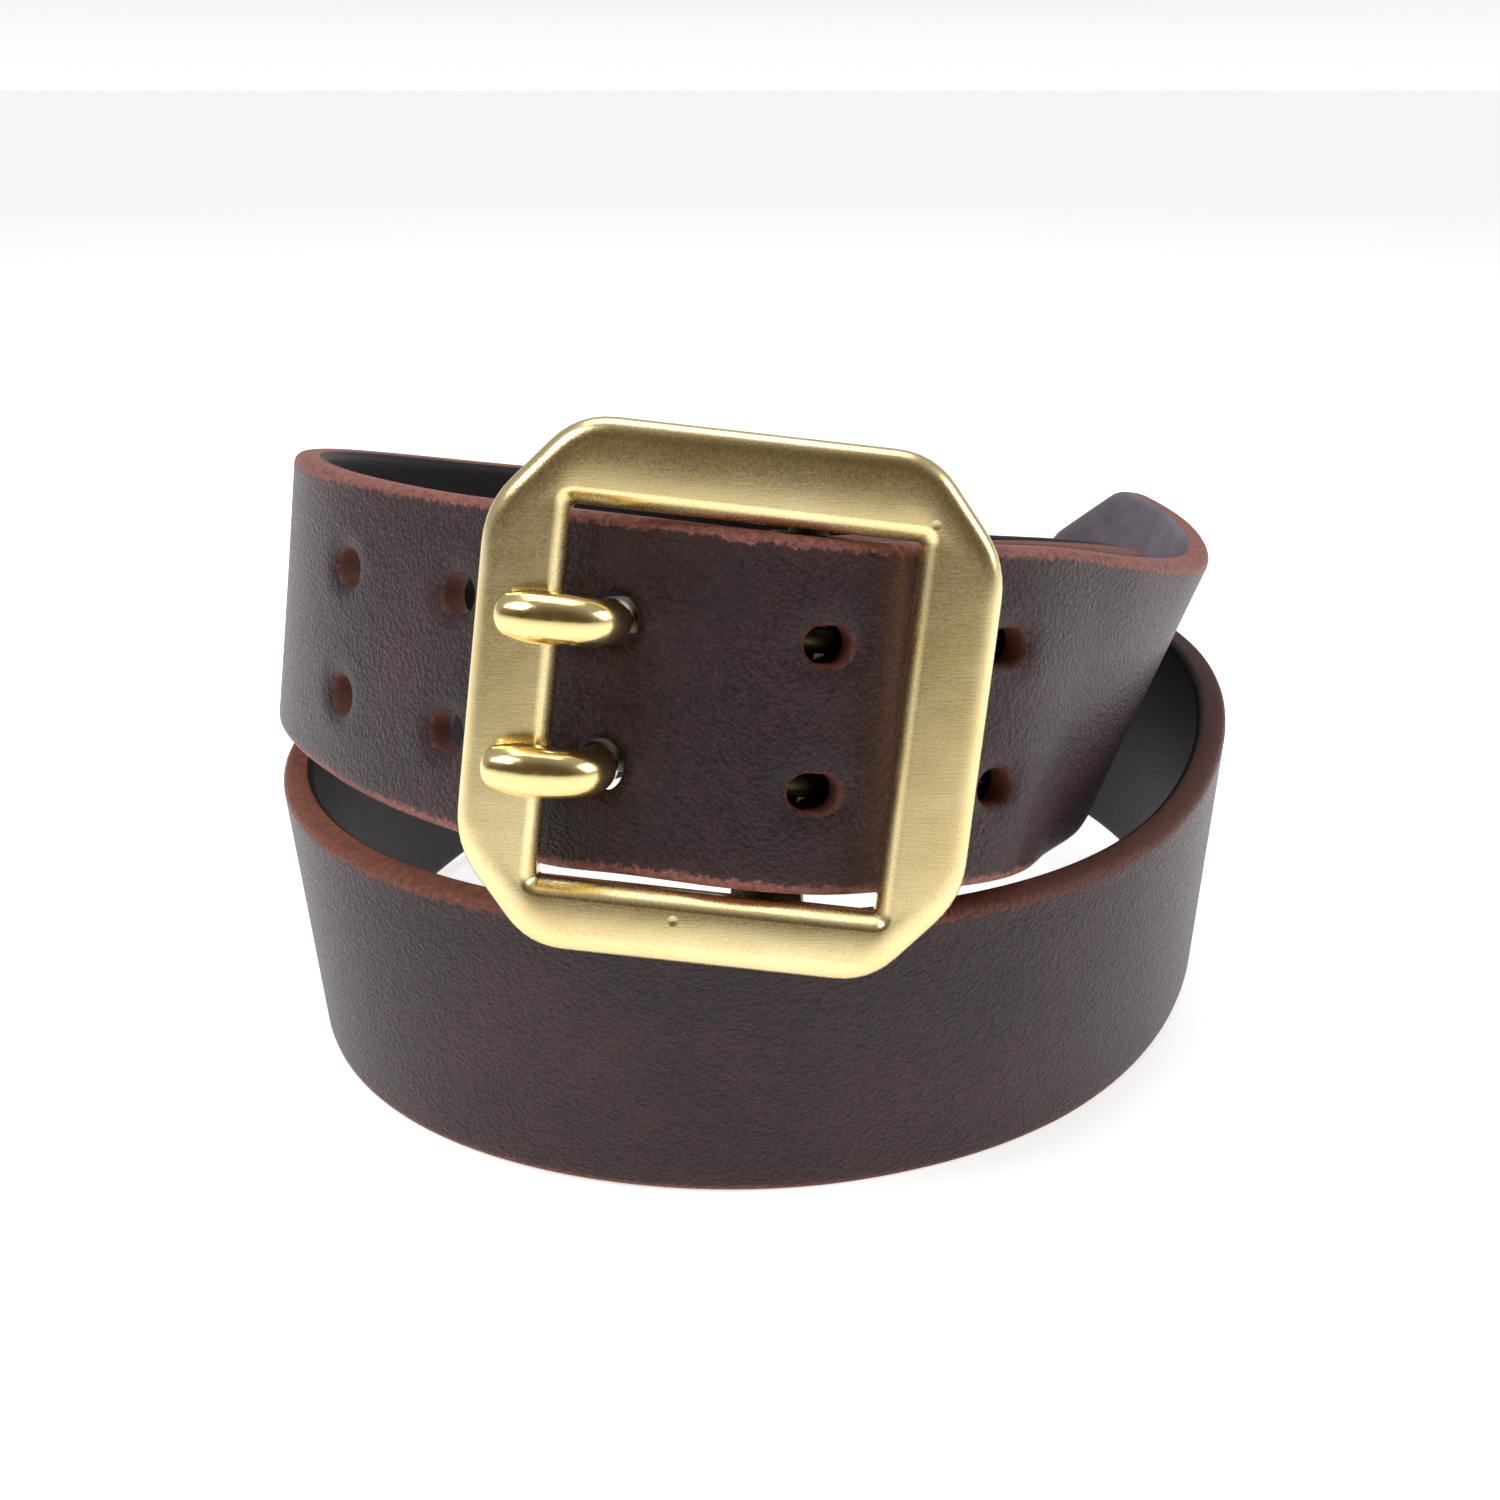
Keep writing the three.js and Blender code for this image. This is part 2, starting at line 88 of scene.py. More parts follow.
# The buckle
BUCKLE_LEAN, BUCKLE_ROLL = 12.8, 6.4
FRAME_SIZE = (57.2, 59.4)
WINDOW_SIZE = (38.2, 41.6)
FRAME_CLIP = (9.2, 10.8)
FRAME_FILLET = 4.2
FRAME_THICKNESS = 4.5
WINDOW_DROP = 0.8
EAR_GAP = 0.2
EAR_THICKNESS = 2.8
BAR_RADIUS = 2.3
BAR_PLACE = (7.0, -6.6)
ROW_SPACING = 16.6
PRONG_ROW = 0.6
PRONG_RADIUS = 1.55

# The camera, above the origin's front
CAMERA_PLACE = (-248.7, 131.2)
CAMERA_TILT = 21.3


# ---- The buckle's own axes and the strap's route, in millimetres ----


def buckle_axes():
    lean, roll = math.radians(BUCKLE_LEAN), math.radians(BUCKLE_ROLL)
    tilt = Matrix.Rotation(-lean, 3, "X") @ Matrix.Rotation(roll, 3, "Y")
    return tuple(np.array(tilt @ Vector(v)) for v in ((1, 0, 0), (0, 0, 1), (0, -1, 0)))


ALONG, UP, OUT = buckle_axes()
BACK = np.array((-2.5, -72.5, 67.6)) - OUT * FRAME_THICKNESS


def bar_shift():
    """How far the whole belt was moved to stand over the origin, read from the bar's place."""
    low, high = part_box("buckle_bar")
    middle = np.array((low + high) / 2) / MM
    return middle - (BACK + ALONG * BAR_PLACE[0] - UP * WINDOW_DROP + OUT * BAR_PLACE[1])


SHIFT = bar_shift()
BACK = BACK + SHIFT


def from_buckle(along, up, out):
    return BACK + ALONG * along + UP * up + OUT * out


def in_buckle(point):
    d = np.asarray(point) - BACK
    return np.stack([d @ ALONG, d @ UP, d @ OUT], -1)


# Stops on the two turns: angle in degrees, radius, height and lean in degrees
LOWER_TURN = [
    (-30, 50.2, 53.5, 12), (-8, 50.6, 48.5, 16), (15, 52.8, 43.8, 16), (37, 54.3, 39.5, 13),
    (60, 58.6, 35.5, 7), (90, 62.8, 30.3, 3), (135, 62.9, 24, 2.5), (158, 62.2, 21.5, 2.5),
    (180, 64.8, 20, 3.6), (225, 68.3, 19.8, 5), (270, 66.3, 19.8, 5.5), (315, 66, 19.9, 6.3),
    (345, 67.5, 22.5, 3), (375, 72, 26, 3), (405, 73.3, 29.3, 2), (450, 72.6, 38, 0),
    (495, 70, 49, -5), (540, 66.6, 61, -8.9), (570, 62.7, 64.5, -9),
]
# Stops through the window: along the buckle, up and out
THROUGH = [
    (-33.6, -0.8, -16.5), (-27.6, -0.75, -11.4), (-21, -0.7, -6.6), (-13.8, -0.65, -2.4),
    (-5.8, -0.65, 0.5), (2.7, -0.65, 1.8), (11.2, -0.6, 0.8), (19.4, -0.2, -3.1),
    (26.9, 0.3, -6.6), (33.6, 0.8, -11.7),
]
TAIL = [
    (672, 59.7, 57.2, 6), (688, 57, 53.2, 12), (704, 57.2, 50.3, 18.5), (720, 59.3, 49.3, 20),
    (738, 61.8, 49.6, 19), (757, 63.3, 50.8, 17),
]


def spline(knots, rows):
    """A natural cubic spline. It returns values and slopes at an array of places."""
    knots, rows = np.asarray(knots, float), np.asarray(rows, float)
    count, gap = len(knots), np.diff(knots)
    matrix, right = np.zeros((count, count)), np.zeros(rows.shape)
    matrix[0, 0] = matrix[-1, -1] = 1
    for i in range(1, count - 1):
        matrix[i, i - 1 : i + 2] = gap[i - 1], 2 * (gap[i - 1] + gap[i]), gap[i]
        right[i] = 6 * ((rows[i + 1] - rows[i]) / gap[i] - (rows[i] - rows[i - 1]) / gap[i - 1])
    bend = np.linalg.solve(matrix, right)

    def at(places):
        places = np.atleast_1d(places).astype(float)
        i = np.clip(np.searchsorted(knots, places) - 1, 0, count - 2)
        h = gap[i][:, None]
        a, b = (knots[i + 1] - places)[:, None], (places - knots[i])[:, None]
        p, q = rows[i] / h - bend[i] * h / 6, rows[i + 1] / h - bend[i + 1] * h / 6
        value = (bend[i] * a**3 + bend[i + 1] * b**3) / (6 * h) + p * a + q * b
        slope = (bend[i + 1] * b * b - bend[i] * a * a) / (2 * h) - p + q
        return value, slope

    return at


def distances_along(points):
    """How far along a line of points each of them lies."""
    return np.concatenate([[0], np.cumsum(np.linalg.norm(np.diff(points, axis=0), axis=1))])


def unit(v):
    return v / np.linalg.norm(v, axis=-1, keepdims=True)


def strap_axes(direction, lean):
    """Across the strap and out of its grain side, for a heading and a lean in degrees."""
    upright = unit(np.array((0.0, 0.0, 1.0)) - direction * direction[..., 2:3])
    outward = np.cross(direction, upright)
    angle = np.radians(lean)[..., None]
    across = upright * np.cos(angle) + outward * np.sin(angle)
    return across, np.cross(direction, across)


class Route:
    """A path for the strap, by the distance along it. A stop with no lean follows the buckle."""

    def __init__(self, stops):
        points = np.array([s[0] for s in stops])
        self.knots = distances_along(points)
        self.length = self.knots[-1]
        self.line = spline(self.knots, points)
        direction = unit(self.line(self.knots)[1])
        across, outward = strap_axes(direction, np.zeros(len(stops)))
        follow = np.degrees(np.arctan2(outward @ UP, across @ UP))
        leans = [follow[i] if s[1] is None else s[1] for i, s in enumerate(stops)]
        self.lean = spline(self.knots, np.array(leans)[:, None])

    def at(self, places):
        point, slope = self.line(places)
        direction = unit(slope)
        lean = self.lean(places)[0][:, 0]
        across, outward = strap_axes(direction, lean)
        return point, direction, across, outward, lean


def turn_stop(stop):
    a = math.radians(stop[0])
    return SHIFT + np.array((stop[1] * math.cos(a), stop[1] * math.sin(a), stop[2])), stop[3]


def buckle_stop(stop):
    return from_buckle(*stop), None


FRONT_STOPS = [buckle_stop(s) for s in THROUGH] + [turn_stop(s) for s in TAIL]
FRONT = Route(FRONT_STOPS)


def place_of(route, along, low, high):
    """Where on a route, between two places, it reaches a distance along the buckle."""
    for _ in range(50):
        middle = (low + high) / 2
        if in_buckle(route.at(middle)[0][0])[0] < along:
            low = middle
        else:
            high = middle
    return low


BAR_ON_TAIL = place_of(FRONT, BAR_PLACE[0], 0, FRONT.length / 2)
MAIN_DEPTH = STRAP_THICKNESS + TAIL_GAP
FLAP_DEPTH = MAIN_DEPTH + (STRAP_THICKNESS + FLAP_THICKNESS) / 2 + FLAP_GAP
BEND_RADIUS = BAR_RADIUS + CLEARANCE + FOLD_THICKNESS / 2


def behind_tail(distance, depth, heading):
    """A stop behind the tail, a distance past the bar."""
    point, _, _, outward, lean = (v[0] for v in FRONT.at(BAR_ON_TAIL + distance))
    return point - outward * depth, heading * lean


def bend_stop(angle):
    a = math.radians(angle)
    along, out = BAR_PLACE[0] + BEND_RADIUS * math.cos(a), BAR_PLACE[1] + BEND_RADIUS * math.sin(a)
    return buckle_stop((along, -BEND_DROP, out))


FLAP = [behind_tail(d, FLAP_DEPTH, -1) for d in (34, 24, 14)] + [behind_tail(7, FLAP_DEPTH + 1.1, -1)]
BEND = [bend_stop(angle) for angle in range(-80, -281, -20)]
MAIN = [behind_tail(7, MAIN_DEPTH - 1, 1)] + [behind_tail(d, MAIN_DEPTH, 1) for d in (14, 24, 33, 41)]
STRAP = Route(FLAP + BEND + MAIN + [turn_stop(s) for s in LOWER_TURN] + FRONT_STOPS)
BEND_PLACE = STRAP.knots[len(FLAP) + len(BEND) // 2]
THROUGH_PLACE = STRAP.knots[len(FLAP) + len(BEND) + len(MAIN) + len(LOWER_TURN)]


def smooth(value, low, high):
    t = np.clip((value - low) / (high - low), 0, 1)
    return t * t * (3 - 2 * t)


def thickness_at(places):
    past = places - BEND_PLACE
    full = np.where(past < 0, FLAP_THICKNESS, STRAP_THICKNESS)
    return FOLD_THICKNESS + (full - FOLD_THICKNESS) * smooth(np.abs(past), 7, 15)


# ---- Small helpers ----


def make_object(name, points, faces, materials=(), smooth_faces=True):
    mesh = bpy.data.meshes.new(name)
    mesh.from_pydata([tuple(map(float, p)) for p in points], [], [tuple(map(int, f)) for f in faces])
    for material in materials:
        mesh.materials.append(material)
    if smooth_faces:
        mesh.polygons.foreach_set("use_smooth", [True] * len(mesh.polygons))
    mesh.update()
    piece = bpy.data.objects.new(name, mesh)
    bpy.context.scene.collection.objects.link(piece)
    return piece


def add_layer(piece, name, values):
    """An attribute on a piece's points, of numbers or of vectors."""
    values = np.asarray(values, np.float32)
    kind, key = ("FLOAT", "value") if values.ndim == 1 else ("FLOAT_VECTOR", "vector")
    piece.data.attributes.new(name, kind, "POINT").data.foreach_set(key, values.ravel())


def solid(name, points, faces, materials, matrix=Matrix(), smooth_faces=True):
    """A closed piece, with its faces turned outwards and its place in its mesh."""
    piece = make_object(name, points, faces, materials, smooth_faces)
    work = bmesh.new()
    work.from_mesh(piece.data)
    bmesh.ops.remove_doubles(work, verts=work.verts, dist=1e-7)
    bmesh.ops.recalc_face_normals(work, faces=work.faces)
    work.to_mesh(piece.data)
    work.free()
    piece.data.transform(matrix)
    piece.data.update()
    return piece


def ring_faces(size, pairs, first=0):
    """The faces that join pairs of rings of points."""
    faces = []
    for a, b in pairs:
        low, high = first + a * size, first + b * size
        for i in range(size):
            j = (i + 1) % size
            faces.append((low + i, low + j, high + j, high + i))
    return faces


def baked(piece, name):
    """The piece's evaluated shape as a plain mesh object, with no modifier left."""
    graph = bpy.context.evaluated_depsgraph_get()
    shape = piece.evaluated_get(graph)
    mesh = bpy.data.meshes.new_from_object(shape, preserve_all_data_layers=True, depsgraph=graph)
    bpy.data.objects.remove(piece, do_unlink=True)
    result = bpy.data.objects.new(name, mesh)
    mesh.name = name
    bpy.context.scene.collection.objects.link(result)
    return result


def buckle_matrix(along=0, up=0, out=0):
    turn = Matrix((ALONG, UP, OUT)).transposed()
    return Matrix.Translation(Vector(from_buckle(along, up, out) * MM)) @ turn.to_4x4()


class NodeTree:
    """A node tree, filled by short calls."""

    def __init__(self, tree):
        self.tree = tree
        self.column = -300

    def node(self, kind, settings=None, at=None, **inputs):
        """A new node. Its inputs are given by name or, in at, by index."""
        made = self.tree.nodes.new(kind)
        made.location = (self.column, 0)
        self.column -= 40
        for key, value in (settings or {}).items():
            setattr(made, key, value)
        for key, value in (at or {}).items():
            self.feed(made, key, value)
        for key, value in inputs.items():
            self.feed(made, key.replace("_", " "), value)
        return made

    def feed(self, made, key, value):
        if isinstance(value, bpy.types.NodeSocket):
            self.tree.links.new(value, made.inputs[key])
        else:
            made.inputs[key].default_value = value

    def math(self, operation, a, b=0.0):
        return self.node("ShaderNodeMath", {"operation": operation}, {0: a, 1: b}).outputs[0]

    def mix(self, factor, a, b):
        return self.node("ShaderNodeMix", {"data_type": "RGBA"}, {0: factor, 6: a, 7: b}).outputs[2]


class Shader(NodeTree):
    """A material's nodes."""

    def __init__(self, name):
        self.material = bpy.data.materials.new(name)
        self.material.use_nodes = True
        super().__init__(self.material.node_tree)
        self.surface = self.tree.nodes["Principled BSDF"]

    def set(self, **values):
        for key, value in values.items():
            self.feed(self.surface, key.replace("_", " "), value)

    def surface_mm(self):
        uv = self.node("ShaderNodeUVMap", {"uv_map": "strap"}).outputs[0]
        return self.node("ShaderNodeMapping", Vector=uv, Scale=(1000, 1000, 1000)).outputs[0]

    def object_mm(self, scale=(1, 1, 1)):
        place = self.node("ShaderNodeTexCoord").outputs["Object"]
        return self.node("ShaderNodeMapping", Vector=place, Scale=tuple(1000 * s for s in scale)).outputs[0]

    def noise(self, where, scale, detail=3, rough=0.5, distortion=0.0):
        made = self.node("ShaderNodeTexNoise", Vector=where, Scale=scale, Detail=detail)
        self.feed(made, "Roughness", rough)
        self.feed(made, "Distortion", distortion)
        return made.outputs["Fac"]

    def ramp(self, value, stops):
        made = self.node("ShaderNodeValToRGB", Fac=value)
        points = made.color_ramp.elements
        while len(points) < len(stops):
            points.new(0.5)
        for point, (place, colour) in zip(points, stops):
            point.position = place
            point.color = (*colour, 1)
        return made.outputs["Color"]

    def range(self, value, low, high, to_low, to_high):
        ends = {"From_Min": low, "From_Max": high, "To_Min": to_low, "To_Max": to_high}
        return self.node("ShaderNodeMapRange", Value=value, **ends).outputs[0]

    def bump(self, height, depth_mm, strength, under=None):
        made = self.node("ShaderNodeBump", Height=height, Distance=depth_mm * MM, Strength=strength)
        if under is not None:
            self.feed(made, "Normal", under)
        return made.outputs[0]

    def attribute(self, name):
        return self.node("ShaderNodeAttribute", {"attribute_name": name}).outputs["Fac"]


# ---- Materials ----


def grain_leather(look):
    """The dyed grain side: fine pebbled grain, cloudy dye, a soft burnish, lighter rubbed rims and a painted
    reflection of the brass frame.
    """
    s = Shader("grain_leather")
    where = s.surface_mm()
    clouds = s.noise(where, 0.035, 4, 0.55)
    streaks = s.noise(where, 0.4, 3, 0.6)
    dark, warm = tuple(look.dye_dark), tuple(look.dye_warm)
    colour = s.mix(s.range(clouds, 0.35, 0.65, 0, 1), (*dark, 1), (*warm, 1))
    colour = s.mix(s.range(streaks, 0.4, 0.75, 0, 0.3), colour, (0.075, 0.03, 0.03, 1))
    warp = s.node("ShaderNodeTexNoise", Vector=where, Scale=1.5, Detail=2.0).outputs["Color"]
    bent = s.node("ShaderNodeVectorMath", {"operation": "ADD"}, {0: where, 1: warp}).outputs[0]
    cells = {"Vector": bent, "Scale": look.grain_scale, "Smoothness": 0.3}
    pebble = s.node("ShaderNodeTexVoronoi", {"feature": "SMOOTH_F1"}, **cells).outputs["Distance"]
    colour = s.mix(s.range(pebble, 0.4, 0.8, 0, 0.6), colour, (0.008, 0.004, 0.005, 1))
    speck = s.noise(where, 2.6, 3, 0.7)
    colour = s.mix(s.range(speck, 0.62, 0.8, 0, 0.5), colour, (0.16, 0.085, 0.085, 1))
    colour = s.mix(s.math("MULTIPLY", s.attribute("rub"), 0.6), colour, (0.11, 0.04, 0.035, 1))
    # Painted reflection: a warm orange line where the brass frame's right bar is reflected in the leather
    colour = s.mix(s.math("MULTIPLY", s.attribute("warm"), 0.45), colour, (0.23, 0.1, 0.045, 1))
    ragged = s.math("ADD", s.attribute("band"), s.range(s.noise(where, 1.1, 4, 0.7), 0.3, 0.7, -0.22, 0.22))
    band = s.range(ragged, 0.42, 0.62, 0, 1)
    colour = s.mix(band, colour, edge_colour(s, where))
    s.set(Base_Color=colour, Specular_IOR_Level=0.26, Coat_Weight=0.09, Coat_Roughness=0.22)
    gloss = s.range(s.noise(where, 1.6, 4, 0.6), 0.3, 0.7, 0.3, 0.5)
    s.set(Roughness=s.math("ADD", gloss, s.math("MULTIPLY", band, 0.2)))
    fine = s.noise(where, 4.5, 3, 0.65)
    slanted = s.node("ShaderNodeMapping", Vector=bent, Rotation=(0, 0, 0.9), Scale=(0.35, 1.5, 1))
    crease = s.noise(slanted.outputs[0], 0.9, 4, 0.6, 1.2)
    normal = s.bump(pebble, 0.24, 0.95)
    normal = s.bump(fine, 0.07, 0.6, normal)
    normal = s.bump(s.noise(where, 0.12, 2, 0.5), 0.4, 0.3, normal)
    normal = s.bump(s.math("MULTIPLY", crease, s.attribute("crease")), 0.9, 0.9, normal)
    s.set(Normal=normal)
    return s.material


def edge_colour(s, where):
    """Fibrous cut leather, from dark brown through orange to a dusty pink."""
    tone = s.attribute("tone")
    brown, orange, pink = (0.035, 0.014, 0.011), (0.3, 0.095, 0.05), (0.4, 0.15, 0.12)
    colour = s.ramp(tone, [(0.0, brown), (0.5, orange), (1.0, pink)])
    fibre = s.noise(where, 1.2, 6, 0.7)
    colour = s.mix(s.range(fibre, 0.3, 0.68, 0.85, 0), colour, (0.07, 0.022, 0.02, 1))
    pale = s.range(s.noise(where, 3.0, 4, 0.7), 0.56, 0.76, 0, 0.5)
    return s.mix(s.math("MULTIPLY", pale, tone), colour, (0.66, 0.38, 0.32, 1))


def flesh_leather():
    """The smoothed back of the leather, near black, with a painted lilac-grey sheen at the tip where it would
    catch the bright surround.
    """
    s = Shader("flesh_leather")
    where = s.surface_mm()
    nap = s.noise(where, 1.3, 5, 0.65)
    colour = s.mix(nap, (0.007, 0.005, 0.006, 1), (0.02, 0.014, 0.015, 1))
    # Painted reflection: the lilac grey stands in for the bright surround reflected at the back of the tip
    dusty = s.mix(s.noise(where, 0.22, 4, 0.6), (0.1, 0.082, 0.1, 1), (0.26, 0.22, 0.27, 1))
    colour = s.mix(s.attribute("dust"), colour, dusty)
    s.set(Base_Color=colour, Roughness=s.range(nap, 0.3, 0.7, 0.42, 0.6), Normal=s.bump(nap, 0.12, 0.5))
    s.set(Specular_IOR_Level=0.25, Coat_Weight=0.04, Coat_Roughness=0.35)
    return s.material


def raw_edge():
    """The cut edge: fibrous leather, from dark brown through orange to a dusty pink."""
    s = Shader("raw_edge")
    where = s.object_mm()
    fibre, pale = s.noise(where, 1.2, 6, 0.7), s.noise(where, 3.5, 4, 0.7)
    s.set(Base_Color=edge_colour(s, where), Roughness=0.62, Specular_IOR_Level=0.35)
    s.set(Normal=s.bump(pale, 0.12, 0.5, s.bump(fibre, 0.3, 0.6)))
    return s.material


def satin_brass(look):
    """Cast brass, tumbled to a satin, with faint brushing, specks, small dents and a patina behind."""
    s = Shader("satin_brass")
    where, patina = s.object_mm(), s.attribute("patina")
    speck = s.noise(where, 3.2, 4, 0.65)
    brushed = s.noise(s.object_mm((0.35, 0.35, 5)), 1.1, 3, 0.6)
    clouds = s.noise(where, 0.09, 3, 0.5)
    colour = s.mix(s.range(clouds, 0.35, 0.65, 0, 1), tuple(look.brass) + (1,), (0.84, 0.67, 0.33, 1))
    colour = s.mix(s.range(speck, 0.55, 0.75, 0, 0.35), colour, (0.5, 0.37, 0.15, 1))
    colour = s.mix(s.math("MULTIPLY", patina, 0.9), colour, (0.03, 0.02, 0.012, 1))
    rough = s.math("ADD", s.range(speck, 0.3, 0.7, 0.19, 0.31), s.math("MULTIPLY", patina, 0.25))
    s.set(Base_Color=colour, Metallic=1.0, Roughness=rough)
    dents = s.node("ShaderNodeTexVoronoi", Vector=where, Scale=0.11).outputs["Distance"]
    normal = s.bump(brushed, 0.012, 0.5)
    normal = s.bump(speck, 0.012, 0.5, normal)
    normal = s.bump(s.range(dents, 0.0, 0.07, 0, 1), 0.08, 0.8, normal)
    normal = s.bump(s.noise(where, 0.1, 2, 0.5), 0.3, 0.3, normal)
    s.set(Normal=normal)
    return s.material


def polished_brass():
    """Brass that hands and leather have polished, dull where it is hidden."""
    s = Shader("polished_brass")
    where, patina = s.object_mm(), s.attribute("patina")
    haze = s.noise(where, 0.8, 4, 0.6)
    colour = s.mix(haze, (0.84, 0.66, 0.28, 1), (0.9, 0.74, 0.37, 1))
    colour = s.mix(s.math("MULTIPLY", patina, 0.93), colour, (0.02, 0.014, 0.009, 1))
    rough = s.math("ADD", s.range(haze, 0.3, 0.7, 0.13, 0.22), s.math("MULTIPLY", patina, 0.35))
    s.set(Base_Color=colour, Metallic=1.0, Roughness=rough)
    normal = s.bump(s.noise(where, 2.0, 3, 0.6), 0.012, 0.5)
    s.set(Normal=s.bump(s.noise(where, 0.3, 2, 0.5), 0.2, 0.3, normal))
    return s.material


# ---- Strap ----


Hole = namedtuple("Hole", "place across length height rounding used")


def oval_ring(hole, out, count):
    """A hole's outline, moved outwards from its edge."""
    r, straight = hole.height / 2 + out, (hole.length - hole.height) / 2
    a = np.linspace(0, 2 * np.pi, count, endpoint=False) + np.pi / count
    ring = np.stack([np.sign(np.cos(a)) * straight + r * np.cos(a), r * np.sin(a)], -1)
    return ring + (hole.place, hole.across)


def hole_distance(points, hole):
    """How far outside a hole's edge each point lies."""
    x, y = points[:, 0] - hole.place, points[:, 1] - hole.across
    straight = (hole.length - hole.height) / 2
    return np.hypot(np.maximum(np.abs(x) - straight, 0), y) - hole.height / 2


def outline_distance(points):
    """How far inside the strap's flat outline each point lies. All corners are soft, the tip's clipped."""
    to_end, to_side = STRAP.length - points[:, 0], HALF_WIDTH - np.abs(points[:, 1])
    slope = (TIP_CLIP - to_end + TIP_CLIP - to_side - TIP_CLIP) / math.sqrt(2)
    sides = np.stack([points[:, 0], to_side, to_end, -slope], -1)
    softened = CORNER_ROUNDING - np.linalg.norm(np.maximum(CORNER_ROUNDING - sides, 0), axis=-1)
    nearest = np.min(sides, -1)
    return np.where(nearest > CORNER_ROUNDING, nearest, softened)


def belt_holes():
    used = place_of(STRAP, USED_HOLE_ALONG, THROUGH_PLACE, THROUGH_PLACE + 40)
    holes = []
    for column in range(HOLE_PAIRS):
        place, size = used + USED_HOLE_PULL + (column - USED_COLUMN) * HOLE_PITCH, HOLE_SIZE
        if column == USED_COLUMN:
            place, size = used, USED_HOLE_SIZE
        for side in (-1, 1):
            holes.append(Hole(place, side * ROW_SPACING / 2, *size, HOLE_ROUNDING, column == USED_COLUMN))
    return holes


def fold_slots():
    """A slot for each prong, where the strap turns round the bar."""
    rows = [side * ROW_SPACING / 2 - PRONG_ROW + BEND_DROP for side in (-1, 1)]
    return [Hole(BEND_PLACE, row, *SLOT_SIZE, 0.3, False) for row in rows]


def screw_spots():
    """Each screw's place and axes, on the grain face of the layer behind the tail."""
    spots = []
    for distance in SCREW_DISTANCES:
        point, direction, across, outward, _ = (v[0] for v in FRONT.at(BAR_ON_TAIL + distance))
        for side in (1, -1):
            place = point + outward * (STRAP_THICKNESS / 2 - MAIN_DEPTH) + across * side * SCREW_OFFSET
            spots.append((place, direction, across, outward))
    return spots


def screw_holes():
    """Where the screws pass through the two layers of the fold."""
    holes = []
    for spot, _, _, outward in screw_spots():
        for low, high in ((0, BEND_PLACE - 10), (BEND_PLACE + 10, BEND_PLACE + 50)):
            places = np.linspace(low, high, 500)
            point, _, across, _, _ = STRAP.at(places)
            gap = spot - point
            gap = gap - (gap @ outward)[:, None] * outward
            aside = gap - np.sum(gap * across, -1, keepdims=True) * across
            i = int(np.argmin(np.linalg.norm(aside, axis=-1)))
            holes.append(Hole(places[i], float(gap[i] @ across[i]), SCREW_HOLE, SCREW_HOLE, 0.2, False))
    return holes


def tip_loop(step):
    """Points round the tip's end, at a distance in from its edge."""
    length, half, result = STRAP.length, HALF_WIDTH, []
    corners = [
        (length - 15, -half), (length - TIP_CLIP, -half), (length, -half + TIP_CLIP),
        (length, half - TIP_CLIP), (length - TIP_CLIP, half), (length - 15, half),
    ]
    turn = math.tan(math.radians(22.5)) * step
    for i in range(len(corners) - 1):
        a, b = np.array(corners[i], float), np.array(corners[i + 1], float)
        along = unit(b - a)
        inward = np.array((-along[1], along[0]))
        count = max(2, int(np.linalg.norm(b - a) / 1.5))
        start = a + inward * step + along * (turn if i > 0 else 0)
        end = b + inward * step - along * (turn if i < len(corners) - 2 else 0)
        result += [tuple(start + (end - start) * k / count) for k in range(count)] + [tuple(end)]
    return result


def flat_points(look, holes):
    """Points for the strap as it was cut: places along x, width along y, close together at its edges."""
    length, half, points = STRAP.length, HALF_WIDTH, []
    columns = np.linspace(0, length, int(length / look.strap_pitch) + 1)
    for step in (0, 0.12, 0.4, 0.8, 1.35):
        body = columns[(columns > step + 2.5) & (columns < length - 15)]
        for sign in (-1, 1):
            points += [(x, sign * (half - step)) for x in body]
        points += [(step, y) for y in np.linspace(-half + 2.6, half - 2.6, 18)]
        inner = CORNER_ROUNDING - step
        for sign in (-1, 1):
            for a in np.linspace(0, np.pi / 2, 5):
                y = sign * (half - CORNER_ROUNDING + inner * math.sin(a))
                points.append((CORNER_ROUNDING - inner * math.cos(a), y))
        points += tip_loop(step)
    for hole in holes:
        for step in (0, 0.12, 0.35, 0.65, 1.0, 1.6, 2.3):
            ring = oval_ring(hole, step * max(hole.rounding, 0.4), 32 if hole.length < 20 else 56)
            points += [tuple(p) for p in ring]
    grid = np.array([(x, y) for x in columns for y in np.linspace(-half + 2.4, half - 2.4, 19)])
    keep = outline_distance(grid) > 1.9
    for hole in holes:
        keep &= hole_distance(grid, hole) > 2.3 * max(hole.rounding, 0.4) + 0.7
    points = np.concatenate([np.array(points), grid[keep]])
    points = points[outline_distance(points) > -1e-3]
    for hole in holes:
        points = points[hole_distance(points, hole) > -0.02]
    return points


def cut_strap(look, holes):
    """The strap's flat outline with its holes, as points and triangles that face up."""
    result = delaunay_2d_cdt([Vector(p) for p in flat_points(look, holes)], [], [], 0, 1e-5)
    flat = np.array([tuple(v) for v in result[0]])
    triangles = np.array([f for f in result[2] if len(f) == 3])
    a, b, c = (flat[triangles[:, k]] for k in range(3))
    centre = (a + b + c) / 3
    area = (b[:, 0] - a[:, 0]) * (c[:, 1] - a[:, 1]) - (c[:, 0] - a[:, 0]) * (b[:, 1] - a[:, 1])
    keep = (outline_distance(centre) > 0) & (np.abs(area) > 1e-7)
    for hole in holes:
        keep &= hole_distance(centre, hole) > 0
    triangles, area = triangles[keep], area[keep]
    triangles[area < 0] = triangles[area < 0][:, ::-1]
    used, index = np.unique(triangles, return_inverse=True)
    return flat[used], index.reshape(triangles.shape)


